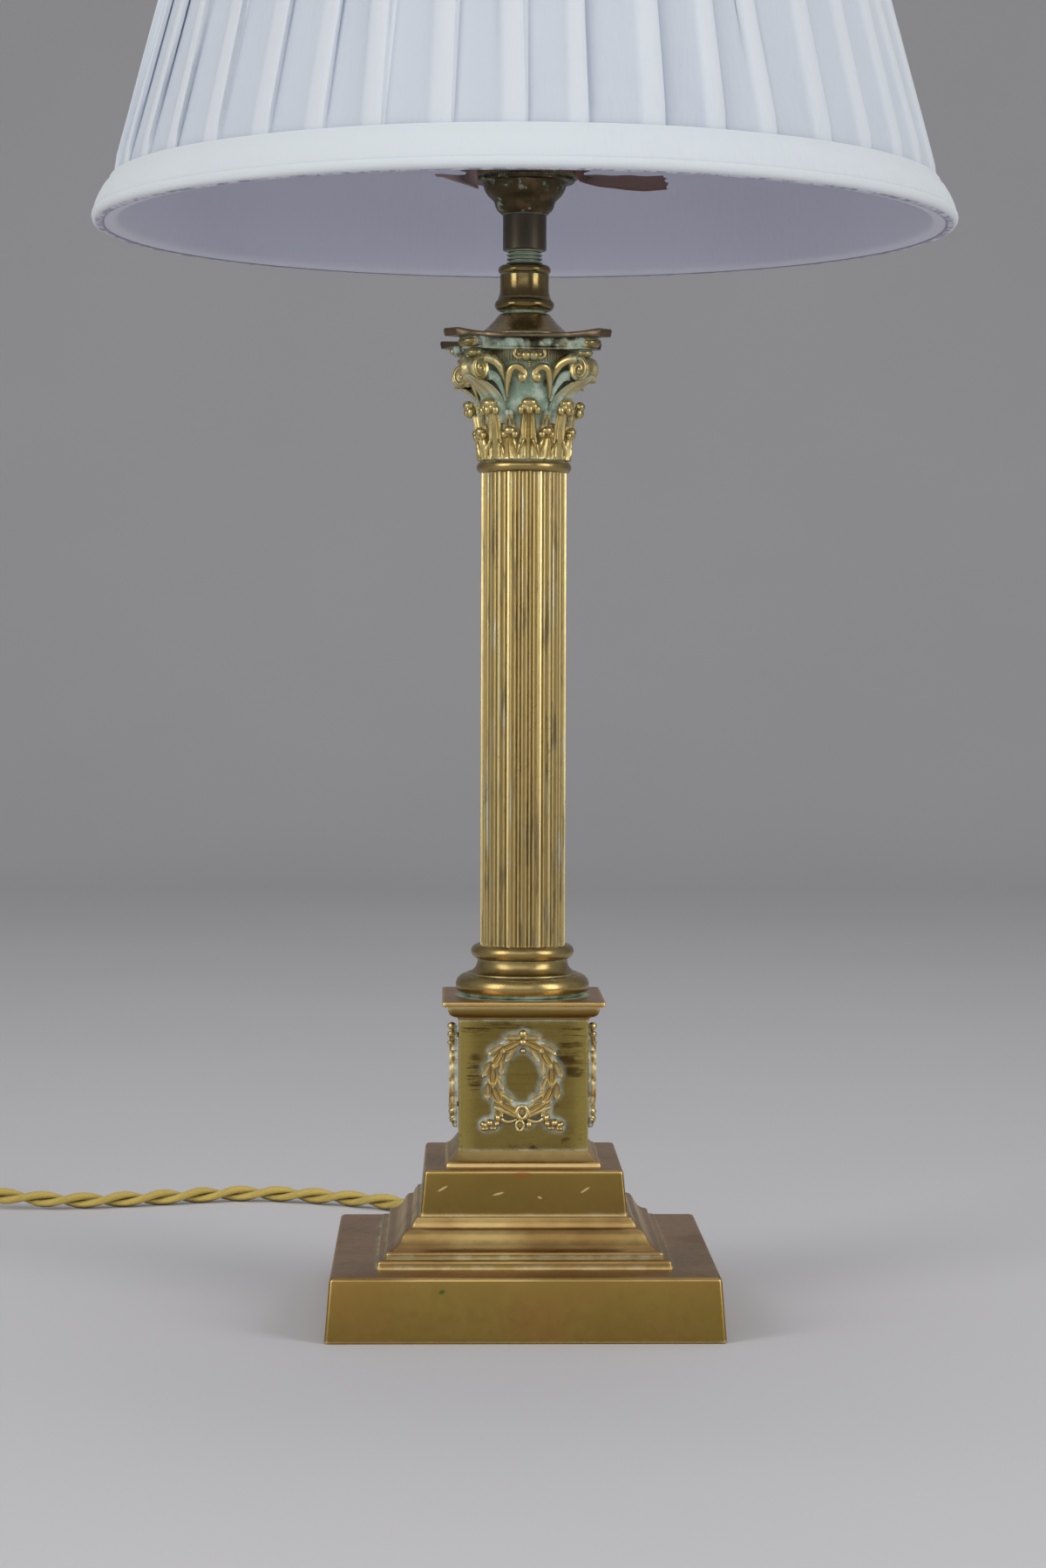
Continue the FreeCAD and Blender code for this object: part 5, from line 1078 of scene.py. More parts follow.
def tipped_leaf(foot, tip, reach, stem, spread, ribs, lumps):
    """A leaf that hugs the bell, curls out over its tip, and ends in rounded lumps. Each lump
    has its place across, how far it hangs under the tip, and its three radii."""
    line = bezier([(15.5, foot), (16.2, (foot + tip) / 2), (16.8, tip - 5),
                   (reach - 2.4, tip - 1.2)], 14)
    line += bezier([(reach - 2.2, tip - 0.9), (reach - 0.6, tip + 0.6),
                    (reach + 0.3, tip - 0.8), (reach - 0.6, tip - 2.6)], 8)

    def width(share):
        flare = 1.7 * max(0.0, 1 - share * 2.0) ** 1.3
        return stem + flare + (spread - stem) * max(0.0, (share - 0.5) / 0.5) ** 1.4

    shapes = [curled_leaf(line, width, ribs, 3)]
    for across, hang, radii in lumps:
        shapes.append(pebble((across, 0.3 * abs(across) - reach + 0.5, tip - hang), radii))
    return collected(shapes)


def tube(path, wide, tall, swell=0.0, point=0.0):
    """A rounded stalk along a path. It may swell towards its end and start from a point."""
    around = 10
    frames = carried_frames(path)
    points = []
    for index, (centre, side, top) in enumerate(frames):
        share = index / (len(frames) - 1)
        size = 1 + swell * share ** 3
        if share < point:
            size *= 0.25 + 0.75 * math.sin(math.pi / 2 * share / point)
        points += [centre + side * (wide * size * math.cos(angle))
                   + top * (tall * size * math.sin(angle)) for angle in round_angles(around)]
    return points, capped(len(frames), around)


def spiral(centre, radius, turns, start, end_radius):
    """Points of a scroll that winds in from start degrees, clockwise."""
    points = []
    for step in range(SCROLL_STEPS + 1):
        share = step / SCROLL_STEPS
        angle = math.radians(start) - 2 * math.pi * turns * share
        reach = radius + (end_radius - radius) * share ** 0.85
        points.append((centre[0] + reach * math.cos(angle),
                       centre[1] + reach * math.sin(angle)))
    return points


def make_volute():
    """A corner of the capital: a solid scroll, a stalk up each side of it, and pods above."""
    eye = Vector((27.4, 0, 31.6))
    drum = [(0.2, 2.5), (3.0, 2.7), (3.9, 3.1), (4.25, 2.9), (4.35, 2.2), (3.9, 0.9),
            (3.8, 0.0)]
    drum += [(radius, -deep) for radius, deep in reversed(drum[:-1])]
    around = 32
    points = [eye + Vector((radius * math.cos(angle), deep, radius * math.sin(angle)))
              for angle in round_angles(around) for radius, deep in drum]
    shapes = [(points, grid(around, len(drum), True, False)
               + [tuple(index * len(drum) for index in range(around)),
                  tuple(index * len(drum) + len(drum) - 1 for index in range(around))])]
    for side in (-1, 1):
        coil = [(spot[0], side * (2.9 - 0.3 * index / SCROLL_STEPS), spot[1]) for index, spot in
                enumerate(spiral((eye.x, eye.z), 3.75, 1.3, 100, 1.1))]
        shapes.append(tube(coil, 0.55, 0.7))
        shapes.append(pebble(eye + DEEP * side * 2.5, (1.15, 1.0, 1.15)))
        stalk = bezier([(16.9, side * 5.6, 25.4), (17.2, side * 5.8, 31.5),
                        (20.4, side * 4.4, 36.2), (26.8, side * 2.9, 35.4)], 18)
        shapes.append(tube(stalk, 1.9, 1.3, 0.0, 0.5))
    lump = Quaternion(Vector((1, 0, 0)), math.radians(3))
    shapes.append(pebble((31.2, 0, 40.9), (2.2, 4.1, 1.75), lump, 10, 16))
    shapes.append(pebble((27.6, 0, 37.2), (2.9, 3.4, 1.6)))
    return collected(shapes)


def make_stalks():
    """The lower pair of stalks under a corner's scroll."""
    shapes = []
    for side in (-1, 1):
        line = bezier([(16.4, side * 5.0, 20.6), (17.4, side * 4.9, 26.2),
                       (19.6, side * 3.4, 30.4), (23.6, side * 2.6, 29.4)], 14)
        shapes.append(tube(line, 1.9, 1.2, 0.0, 0.6))
    return collected(shapes)


def make_fold():
    """The leaf back under a scroll, which carries it over the tip of the corner leaf."""
    line = bezier([(16.0, 13.0), (16.8, 21.0), (20.2, 24.2), (26.6, 27.0)], 16)
    line += bezier([(27.0, 27.2), (28.9, 28.2), (30.4, 28.4), (30.9, 29.6)], 6)
    points, faces = curled_leaf(line, lambda share: 5.2 - 1.7 * share, 3.5, 1, 1.4)
    turn = Quaternion(UP, math.radians(90))
    return [turn @ point for point in points], faces


def make_face():
    """The middle of one side: two curled stalks that meet, and a bud with leaves above."""
    shapes = []
    for side in (-1, 1):
        arch = bezier([(side * 7.4, -15.6, 22.0), (side * 8.0, -17.4, 27.0),
                       (side * 7.2, -19.2, 33.0), (side * 4.4, -19.7, 32.4)], 14)
        arch += bezier([(side * 4.4, -19.7, 32.4), (side * 1.9, -19.9, 31.8),
                        (side * 1.2, -19.9, 29.4), (side * 2.6, -19.9, 28.6)], 8)[1:]
        shapes.append(tube(arch, 1.45, 1.2, 0.1, 0.45))
        shapes.append(pebble((side * 2.6, -20.0, 28.7), (1.8, 1.6, 2.1)))
        whisker = bezier([(side * 2.0, -20.4, 36.0), (side * 4.2, -20.4, 34.6),
                          (side * 6.0, -20.2, 35.8), (side * 5.2, -19.8, 38.2)], 10)
        shapes.append(tube(whisker, 0.75, 0.7, 0.2))
        shapes.append(pebble((side * 3.3, -19.8, 36.6), (1.3, 0.9, 1.2)))
        shapes.append(pebble((side * 1.4, -21.1, 36.3), (1.9, 1.7, 1.9)))
    for level in (34.2, 33.4, 32.6):
        shapes.append(pebble((0, -19.2, level), (0.7, 0.7, 0.5)))
    return collected(shapes)


def make_flames():
    """Small blades that lick up the foot of the bell beside a low leaf."""
    shapes = []
    for across, level, tall, tilt in ((2.9, 3.6, 2.6, 14), (1.5, 6.4, 2.2, -12),
                                      (4.3, 5.6, 2.0, 20)):
        for side in (-1, 1):
            shapes.append(pebble((side * across, 0.03 * across ** 2 - 16.3, level),
                                 (0.6, 0.95, tall),
                                 Quaternion(DEEP, math.radians(side * tilt)), 6, 8))
    return collected(shapes)


def make_capital(finishes):
    brass, green = finishes["capital"], finishes["bell"]
    maker = ring_maker()
    bell = [(ROD_BORE, 0.0), (15.5, 0.0), (15.9, 0.3), (15.9, 1.2), (15.5, 1.6), (15.6, 20.0)]
    bell += [(15.9, 26.0), (16.6, 31.0), (17.2, 34.0), (17.4, 38.8), (ROD_BORE, 38.8)]
    parts = [lathe("bell", bell, green, steps=96)]
    low_leaf = tipped_leaf(0.6, 11.4, 18.3, 1.6, 2.4, 2.5, (
        (0.0, 1.2, (2.1, 1.6, 1.7)), (-1.9, 2.5, (1.35, 1.3, 1.5)),
        (1.9, 2.5, (1.35, 1.3, 1.5))))
    middle_leaf = tipped_leaf(0.4, 21.4, 20.6, 2.2, 3.2, 2.5, (
        (0.0, 1.6, (2.9, 1.9, 1.8)), (-2.9, 4.0, (1.3, 1.5, 1.9)),
        (2.9, 4.0, (1.3, 1.5, 1.9)), (0.0, 3.9, (1.5, 1.5, 1.9)),
        (-1.6, 3.0, (1.6, 1.6, 1.5)), (1.6, 3.0, (1.6, 1.6, 1.5))))
    upper_leaf = tipped_leaf(9.0, 17.4, 18.2, 0.9, 1.3, 1.5, (
        (-0.7, 0.9, (0.95, 0.9, 1.1)), (0.7, 0.9, (0.95, 0.9, 1.1))))
    reed = pebble((0, -17.4, 36.6), (0.24, 0.6, 2.3), rows=6, columns=6)
    for name, shape, count, start, material in (
            ("low_leaf", low_leaf, 8, 22.5, brass), ("middle_leaf", middle_leaf, 8, 0.0, brass),
            ("upper_leaf", upper_leaf, 8, 22.5, green), ("flames", make_flames(), 8, 22.5, brass),
            ("reed", reed, 108, 0.0, green), ("fold", make_fold(), 4, 45.0, green),
            ("volute", make_volute(), 4, 45.0, brass), ("face", make_face(), 4, 0.0, brass),
            ("stalks", make_stalks(), 4, 45.0, green)):
        source = piece(name, *shape, material, 50)
        parts.append(repeated(source, maker, Count=count, Start=math.radians(start),
                              Material=material))
    parts.append(hollow_square("capital_shelf", green, 29.5, 8.0, 18.2, 38.6, 39.4))
    parts.append(hollow_square("capital_abacus", green, 31.6, 7.6, 18.4, 39.4, 42.6))
    made = merged("leafed_capital", parts, sharp=50)
    turn = Matrix.Translation((0, 0, CAPITAL_FOOT * MM)) @ Matrix.Rotation(
        math.radians(CAPITAL_TURN), 4, "Z")
    made.data.transform(turn)
    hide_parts("capital")


def square_reach(angle, reach, corner, waist):
    """How far the hollow-sided square with cut corners goes in a direction."""
    angle = (angle + math.pi / 4) % (math.pi / 2) - math.pi / 4
    near = math.hypot(reach, corner / 2)
    lean = math.atan2(corner / 2, reach)
    spot = Vector((near * math.cos(math.pi / 4 - lean), near * math.sin(math.pi / 4 - lean)))
    centre = (spot.x ** 2 + spot.y ** 2 - waist ** 2) / (2 * (spot.x - waist))
    radius = centre - waist
    way = Vector((math.cos(angle), math.sin(angle)))
    along = centre * way.x
    under = along ** 2 - centre ** 2 + radius ** 2
    side_reach = along - math.sqrt(under) if under > 0 else 1e9
    cut_reach = reach / max(math.cos(math.pi / 4 - abs(angle)), 1e-6)
    return min(side_reach, cut_reach)


def hollow_square(name, material, reach, corner, waist, low, high, curl=0.0):
    """A plate with hollowed sides and rounded edges; curl lifts its corners."""
    around = 240
    half = (high - low) / 2
    edge = min(half, 0.75)
    rings = [("hole", low), ("in", low), ("edge", low), ("rim_low", low), ("rim_high", high),
             ("edge", high), ("in", high), ("hole", high)]
    points = []
    for kind, level in rings:
        for angle in round_angles(around):
            full = square_reach(angle, reach, corner, waist)
            if kind == "hole":
                radius, height = ROD_BORE, level
            elif kind == "in":
                radius, height = min(full * 0.8, 24.0), level
            elif kind == "edge":
                radius, height = full - edge * 0.7, level
            else:
                radius = full
                height = level + (edge * 0.6 if kind == "rim_low" else -edge * 0.6)
            lift = curl * max(0.0, (radius - 24.0) / (reach - 24.0)) ** 2
            points.append(polar(radius, angle, height + lift))
    return piece(name, points, grid(len(rings), around, True, True), material, 32)


# ---------------------------------------------------------------- wreaths

def laurel_leaf(length, width, height):
    """A leaf along X, dished inside its rim and pointed at both ends, its back on Y = 0."""
    rows, columns = 14, 13
    points = []
    for row in range(rows + 1):
        along = -1 + 2 * row / rows
        broad = width / 2 * max(1 - abs(along) ** 2.4, 0.04)
        for column in range(columns):
            side = -1 + 2 * column / (columns - 1)
            rim = max(math.exp(-((abs(side) - 0.78) / 0.2) ** 2), along ** 6)
            lift = height * (0.5 + 0.5 * rim) if abs(side) < 0.99 else 0.0
            points.append(Vector((along * length / 2, -lift, side * broad)))
    return points, grid(rows + 1, columns)


def wreath_shape(finishes):
    """One wreath round its own middle, with its back towards +Y."""
    brass = finishes["relief"]
    maker = oval_maker()
    parts = []
    rows = ((-2.5, 16, 5.8, 2.3, 1.9, 4, 44, 146), (2.6, -16, 6.4, 2.6, 2.1, 5, 40, 164),
            (0.0, 0, 7.8, 3.3, 2.9, 5, 27, 156))
    for side in (-1, 1):
        for spread, tilt, length, width, height, count, first, last in rows:
            leaf = piece("leaf", *laurel_leaf(length, width, height), brass, 60)
            parts.append(repeated(
                leaf, maker, sharp=60, Count=count, From=math.radians(-90 + side * first),
                To=math.radians(-90 + side * last),
                Half_width=(WREATH_WIDE + spread) * MM,
                Half_height=(WREATH_TALL + spread) * MM,
                Tilt=math.radians(side * tilt + (0 if side > 0 else 180)), Material=brass))
    back = []
    for step in range(73):
        angle = 2 * math.pi * step / 72
        for reach in (-2.9, -2.5, 2.5, 2.9):
            lift = 0.0 if abs(reach) > 2.6 else -0.6
            back.append(((WREATH_WIDE + reach) * math.cos(angle), lift,
                         (WREATH_TALL + reach) * math.sin(angle)))
    shapes = [(back, grid(73, 4))]
    for step, size in enumerate((1.05, 1.4, 1.45)):
        shapes.append(pebble((0.2, -1.9, 9.6 + step * 3.0), (size + 0.1, 1.7, size)))
    for side in (-1, 1):
        shapes.append(tube(bezier([
            (side * 2.4, -1.4, -13.6), (side * 5.2, -2.2, -12.6), (side * 7.6, -1.8, -11.0),
            (side * 9.6, -1.2, -10.6)], 10), 0.95, 0.8, 0.2))
        shapes.append(tube(bezier([
            (side * 2.0, -1.2, -14.8), (side * 4.4, -1.6, -16.0), (side * 6.0, -1.8, -15.8),
            (side * 7.4, -1.8, -14.6)], 8), 0.7, 0.7))
        for across, up, wide, deep, tall, tilt in (
                (8.6, -14.2, 1.3, 2.7, 1.8, 20), (8.9, -16.4, 1.5, 1.7, 1.1, 40),
                (11.4, -16.0, 1.6, 2.5, 1.4, -15), (13.4, -16.7, 1.8, 2.0, 1.1, -30),
                (13.2, -18.2, 1.6, 1.4, 0.9, 10), (10.2, -18.0, 1.6, 1.5, 0.8, 0)):
            shapes.append(pebble((side * across, -0.4, up), (wide, deep, tall),
                                 Quaternion(DEEP, math.radians(side * tilt))))
    for across, up, wide, tall, thick in ((0.0, -12.2, 1.8, 2.2, 0.75),
                                          (-0.8, -16.9, 1.35, 1.8, 0.5)):
        loop = [(across + wide * math.sin(angle), -2.2, up + tall * math.cos(angle))
                for angle in (2 * math.pi * step / 20 for step in range(21))]
        shapes.append(tube(loop, thick, thick))
        shapes.append(pebble((across, -0.6, up), (wide, 1.0, tall)))
    shapes.append(pebble((2.4, -1.2, -16.6), (1.25, 1.5, 1.35)))
    parts.append(piece("bow", *collected(shapes), brass, 60))
    made = merged("wreath_master", parts, sharp=60)
    for vertex in made.data.vertices:
        vertex.co.y = min(max(vertex.co.y, -4.0 * MM), 0.0)
        vertex.co.x -= 0.5 * MM
    return made


def make_wreaths(finishes):
    master = wreath_shape(finishes)
    for name, turn in (("front", 0), ("right", 90), ("back", 180), ("left", 270)):
        mesh = master.data.copy()
        copy = linked("laurel_" + name, mesh)
        away = Matrix.Translation((0, -(DIE_FACE + 0.5) * MM, WREATH_LEVEL * MM))
        mesh.transform(Matrix.Rotation(math.radians(turn), 4, "Z") @ away)
        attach(copy, "lamp")
        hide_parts("wreath_" + name)
    bpy.data.objects.remove(master)


# ---------------------------------------------------------------- plate, neck and holder

def make_neck(finishes):
    plate = hollow_square("curled_plate", finishes["plate"], 38.6, 7.6, 20.0, 0.0, 1.7, 0.9)
    for vertex in plate.data.vertices:
        reach = vertex.co.xy.length / MM
        if reach > 33.0 and vertex.co.z < 1.2 * MM:
            vertex.co.z -= 0.22 * min(reach - 33.0, 5.0) * MM
    plate.data.transform(Matrix.Translation((0, 0, PLATE_LEVEL * MM)) @ Matrix.Rotation(
        math.radians(PLATE_TURN), 4, "Z"))
    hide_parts("abacus_plate")

    foot = PLATE_LEVEL + 1.5
    outline = [(ROD_BORE, foot)] + arc((16.9, foot + 0.65), 0.75, -60, 100, 6)
    outline += [(16.1, foot + 1.35), (15.2, foot + 1.95),
                (14.1, foot + 2.9), (13.0, foot + 3.9), (12.0, foot + 4.9), (11.0, foot + 6.0),
                (10.1, foot + 7.1), (9.4, foot + 7.9), (9.0, foot + 8.35), (8.5, foot + 8.55),
                (7.2, foot + 8.6), (7.2, foot + 9.5), (ROD_BORE, foot + 9.5)]
    lathe("turned_trumpet", outline, finishes["trumpet"], node="top_trumpet")

    foot = COLLAR_FOOT
    outline = [(THREAD_BORE, foot), (8.1, foot)]
    outline += arc((8.45, foot + 2.2), 2.2, -90, 90, 14)
    outline += [(9.5, foot + 4.5), (9.4, foot + 4.9), (9.05, foot + 5.7)]
    outline += [(8.85, foot + 6.6), (8.75, foot + 7.8), (8.72, foot + 9.6), (8.74, foot + 11.4)]
    outline += [(8.8, foot + 12.4), (8.8, foot + 12.8), (8.0, foot + 13.0)]
    outline += arc((7.7, foot + 14.7), 1.7, -90, 90, 12)
    outline += [(6.4, foot + 16.4), (6.4, foot + 6.5), (THREAD_BORE, foot + 6.5)]
    lathe("turned_collar", outline, finishes["collar"], node="top_collar")

    outline = [(THREAD_BORE, 364.0), (6.3, 364.0), (6.3, 373.6)]
    level = 373.6
    while level < 379.4:
        outline += [(5.4, level + 0.05), (5.4, level + 0.6), (6.35, level + 0.85),
                    (6.35, level + 1.25)]
        level += 1.4
    outline += [(6.3, level + 0.3), (6.3, 387.0), (THREAD_BORE, 387.0)]
    lathe("threaded_end", outline, finishes["thread"], node="holder_nipple", sharp=25)

    foot = RING_LEVEL - 25.5
    outline = [(6.4, foot), (7.5, foot), (7.78, foot + 0.3), (7.78, foot + 12.4),
               (7.5, foot + 12.8), (ROD_BORE, foot + 12.8), (ROD_BORE, foot + 9.0),
               (6.4, foot + 9.0)]
    lathe("plain_sleeve", outline, finishes["holder"], node="holder_sleeve")

    foot = RING_LEVEL - 12.7
    outline = [(ROD_BORE, foot), (8.2, foot), (8.6, foot + 0.4), (9.8, foot + 1.5),
               (10.4, foot + 2.6), (10.6, foot + 3.4)]
    outline += [(10.8, foot + 4.3), (11.3, foot + 5.0), (12.2, foot + 5.8),
                (13.1, foot + 6.7), (13.9, foot + 7.8), (14.5, foot + 9.1),
                (14.9, foot + 10.3), (15.3, foot + 11.0), (16.6, foot + 11.2),
                (17.6, foot + 11.4), (17.93, foot + 11.8),
                (17.93, foot + 12.5), (17.7, foot + 12.7), (14.25, foot + 12.7),
                (14.25, foot + 11.1), (11.7, foot + 11.1), (9.6, foot + 3.4),
                (7.4, foot + 1.0), (ROD_BORE, foot + 1.0)]
    lathe("domed_base", outline, finishes["dome"], node="holder_dome")


def make_springs(finishes):
    """The two springs under the contact plungers, which shorten as the bulb is pushed in."""
    tall, turns, wire, radius = 5.0, 5, 0.25, 1.5
    shapes = []
    for middle in (-4.0, 4.0):
        line = []
        for step in range(turns * 16 + 1):
            angle = 2 * math.pi * step / 16
            line.append((middle + radius * math.cos(angle), radius * math.sin(angle),
                         SPRING_FOOT + wire + (tall - 2 * wire) * step / (turns * 16)))
        shapes.append(tube(line, wire, wire))
    springs = piece("plunger_coils", *collected(shapes), finishes["steel"], 60)
    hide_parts("plunger_springs")
    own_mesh(springs)


def make_rings(finishes):
    """The two knurled rings that hold the shade: a band with a row of teeth round it."""
    for name, node, level, body in (
            ("knurled_ring_lower", "shade_ring_lower", RING_LEVEL, "lamp"),
            ("knurled_ring_upper", "shade_ring_upper", RING_LEVEL + 6.25, "ring")):
        outline = [(RING_BORE, level), (19.0, level), (19.4, level + 0.3),
                   (19.4, level + 2.6), (19.0, level + 2.9), (RING_BORE, level + 2.9)]
        band = lathe(name + "_band", outline, finishes["dome"], body)
        tooth = pebble((0, -19.35, level + 1.45), (0.42, 0.5, 1.25), rows=6, columns=6)
        teeth = piece(name + "_teeth", *tooth, finishes["dome"], 60, body)
        teeth = repeated(teeth, bpy.data.node_groups["ring of copies"], Count=110,
                         Start=0.0, Material=finishes["dome"])
        made = merged(name, [band, teeth], body)
        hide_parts(node)


def make_packing(finishes):
    """The strip of cloth trapped on the lower ring. Both of its ends hang and are frayed,
    and the left end's front corner is drawn in."""
    level = RING_LEVEL + 2.95
    half = STRIP_WIDTH / 2
    rows, columns = 83, 25
    points, maps = [], []
    for row in range(rows):
        x = -31.0 + 81.0 * row / (rows - 1)
        for column in range(columns):
            share = -1 + 2 * column / (columns - 1)
            front = (1 - share) / 2
            wave = noise.noise(Vector((x * 0.13, share * 1.4, 1.0)))
            free = limited((math.hypot(x, share * half) - 20.0) / 2.0)
            y = share * half + wave * free
            if x > 0:
                deep = 5.0 + 3.0 * limited((x - 19.0) / 16.0) ** 0.7
            else:
                deep = 8.6 - 5.0 * limited((-18.0 - x) / 12.0)
            hang = free * free * (3 - 2 * free) * (0.4 + deep * front ** 1.2)
            across = x + 0.4 * max(hang - 2.6, 0.0) * (x < 0)
            fray = 0.0
            if row in (0, rows - 1):
                fray = noise.noise(Vector((share * 9.0, 3.0, 0.0))) * 2.4
            points.append(Vector((across + fray, y, level + 0.3 - hang + wave * free * 0.6)))
            maps.append((x, share * half))
    faces = [face for face in grid(rows, columns)
             if (sum((points[index] for index in face), Vector()) / 4).xy.length > 14.9]
    strip = piece("packing_strip", points, faces, finishes["packing"], 60, maps=maps)
    thickened(strip, 0.45, 0.0)
    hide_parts("packing_cloth")


# ---------------------------------------------------------------- shade

def frame_radius(height):
    """Radius of the wire frame at a height above the rim."""
    return FRAME_RIM - SHADE_SLOPE * height


def cone_sheet(rows, columns, spot):
    """Points, faces and cloth places of a closed cone: spot(height share, turn share)."""
    points, maps = [], []
    for row in range(rows):
        for column in range(columns + 1):
            radius, angle, height, along = spot(row / (rows - 1), column / columns)
            points.append(polar(radius, angle, RIM_LEVEL + height))
            maps.append((along, height))
    return points, grid(rows, columns + 1), maps


def make_cover(finishes):
    """Knife pleats, pressed flat under the bands and a little slack between them."""
    per_pleat = (0.0, 0.14, 0.3, 0.44, 0.55, 0.62, 0.68, 0.74, 0.81, 0.88, 0.94, 0.975, 0.99)
    rise = (0.0, 0.02, 0.05, 0.1, 0.18, 0.36, 0.62, 0.84, 0.95, 1.0, 1.0, 0.85, 0.3)
    shares = []
    for pleat in range(PLEATS):
        wobble = noise.noise(Vector((pleat * 1.7, 0.3, 0.0))) * PLEAT_STRAY
        after = noise.noise(Vector(((pleat + 1) % PLEATS * 1.7, 0.3, 0.0))) * PLEAT_STRAY
        for share, lift in zip(per_pleat, rise):
            shares.append((pleat + share + wobble * (1 - share) + after * share, lift, pleat,
                           pleat + share))
    shares.append((PLEATS + noise.noise(Vector((0, 0.3, 0.0))) * PLEAT_STRAY, 0.0, 0, PLEATS))
    rows = 30
    low, high = 1.3, SHADE_HEIGHT - 1.3
    points, maps = [], []
    for row in range(rows):
        share = row / (rows - 1)
        height = low + (high - low) * share
        slack = math.sin(math.pi * share)
        for turn, lift, pleat, cloth in shares:
            lean = noise.noise(Vector((pleat * 2.3, share * 1.5, 4.0))) * 0.16 * slack
            sway = noise.noise(Vector((pleat * 3.1, share * 4.0, 9.0))) * 0.35 * slack
            angle = 2 * math.pi * (turn + PLEAT_TURN + lean * (0.25 < lift)) / PLEATS
            near = min(height, SHADE_HEIGHT - height)
            pressed = 0.3 + 0.7 * limited((near - 13.0) / 9.0)
            depth = 1.9 * lift * (1 + sway) * pressed
            radius = frame_radius(height) + 2.5 + depth - 0.6 * slack * (1 - lift)
            points.append(polar(radius, angle, RIM_LEVEL + height))
            maps.append((cloth * PLEAT_WIDTH, height))
    faces = grid(rows, len(shares))
    cover = piece("pleated_cover", points, faces, finishes["cover"], 50, "shade", maps)
    thickened(cover, 0.55, -1.0)
    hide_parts("shade_cover")


def make_lining(finishes):
    columns = 252
    wrap = [(150.5, 0.3), (149.4, 0.22), (148.2, 0.25), (146.8, 0.4), (145.6, 0.7),
            (144.8, 1.15), (144.25, 1.8), (143.85, 2.8)]
    rows = 32

    def spot(share, turn):
        """The first rows wrap under the wire at the rim, and the rest go up to the top."""
        row = round(share * (rows - 1))
        angle = 2 * math.pi * turn
        if row < len(wrap):
            return wrap[row][0], angle, wrap[row][1], turn * 860
        rise = (row - len(wrap)) / (rows - 1 - len(wrap))
        height = 4.2 + (SHADE_HEIGHT - 5.5) * rise
        seam = math.exp(-((turn * 6 % 1 - 0.5) / 0.012) ** 2) * 0.35
        slack = math.sin(math.pi * rise) * noise.noise(
            Vector((math.cos(angle) * 4, math.sin(angle) * 4, rise * 2))) * 0.5
        return frame_radius(height) - 2.3 + slack - seam, angle, height, turn * 860

    points, faces, maps = cone_sheet(rows, columns, spot)
    lining = piece("cloth_lining", points, faces, finishes["lining"], 60, "shade", maps)
    thickened(lining, 0.4, 1.0)
    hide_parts("shade_lining")


def band(name, outline, finishes, node, pucker):
    """A bias band round a rim, from an open outline of radius and height above the rim."""
    columns = 540
    points, maps = [], []
    girth = max(radius for radius, _ in outline)
    along = [0.0]
    for first, second in zip(outline, outline[1:]):
        along.append(along[-1] + math.dist(first, second))
    for index, (radius, height) in enumerate(outline):
        under = pucker * max(0.0, 1 - math.dist((radius, height), (151.6, 0.2)) / 3.2)
        for column in range(columns + 1):
            turn = 2 * math.pi * column / columns
            ripple = noise.noise(Vector((math.cos(turn) * 34, math.sin(turn) * 34, height * 0.2)))
            wave = noise.noise(Vector((math.cos(turn) * 6, math.sin(turn) * 6, 2.0)))
            out = radius + ripple * abs(under) + wave * 0.3
            points.append(polar(out, turn, RIM_LEVEL + height + ripple * abs(under) * 0.5))
            maps.append((turn * girth, along[index]))
    made = piece(name, points, grid(len(outline), columns + 1), finishes["trim"], 50,
                 "shade", maps)
    thickened(made, 0.5, -1.0)
    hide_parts(node)
    2 * math.pi * girth * MM


def make_trims(finishes):
    edge = frame_radius(15) + 3.3
    outline = [(edge + 0.2, 15.2), (edge + 0.9, 15.25), (edge + 1.25, 14.8),
               (edge + 1.6, 13.6), (149.3, 12.0), (150.3, 10.4), (151.2, 8.8), (151.95, 7.2),
               (152.6, 5.6), (152.95, 4.4), (153.0, 4.0), (152.95, 3.8), (153.2, 3.55),
               (153.5, 3.0), (153.65, 2.2), (153.5, 1.3), (153.0, 0.55), (152.2, 0.1),
               (151.3, -0.05), (150.4, -0.15), (149.7, -0.1), (149.3, 0.1)]
    band("bottom_band", outline, finishes, "shade_bottom_trim", 0.45)
    high = SHADE_HEIGHT
    edge = frame_radius(high - 12) + 3.3
    top = frame_radius(high)
    outline = [(edge + 0.1, high - 12.2), (edge + 1.1, high - 12.25), (edge + 1.3, high - 11.6),
               (top + 5.6, high - 3.0), (top + 5.1, high - 0.9), (top + 4.2, high - 0.1),
               (top + 1.0, high), (top - 1.6, high - 0.2), (top - 2.35, high - 1.2),
               (top - 2.3, high - 3.6)]
    band("top_band", outline, finishes, "shade_top_trim", 0.0)


# ---------------------------------------------------------------- finishes of the CAD's pieces

def dress_nodes(finishes):
    """Give each CAD piece that stays in view its finish."""
    wear = {
        "inner_brass": ["wreath_pins", "terminals", "contact_plungers", "bulb_cap"],
        "pin_brass": ["plug_pins"],
        "holder": ["slip_washer", "holder_shell"],
        "steel": ["base_screws", "tie_rod", "clamp_washer", "clamp_nut", "switch_pivot"],
        "ivory": ["insulator_block", "cord_clip", "switch_rocker", "plug_base", "plug_cover"],
        "gold": ["cord_gland", "gland_nut", "switch_base", "switch_cover"],
        "wire": ["shade_fitter_ring", "shade_arms", "shade_bottom_ring", "shade_top_ring",
                 "shade_struts"],
        "flex": ["inner_flex"],
        "glass": ["bulb_glass"],
    }
    for finish, names in wear.items():
        for name in names:
            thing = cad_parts[name]
            for slot in thing.material_slots:
                slot.material = finishes[finish]


# ---------------------------------------------------------------- room

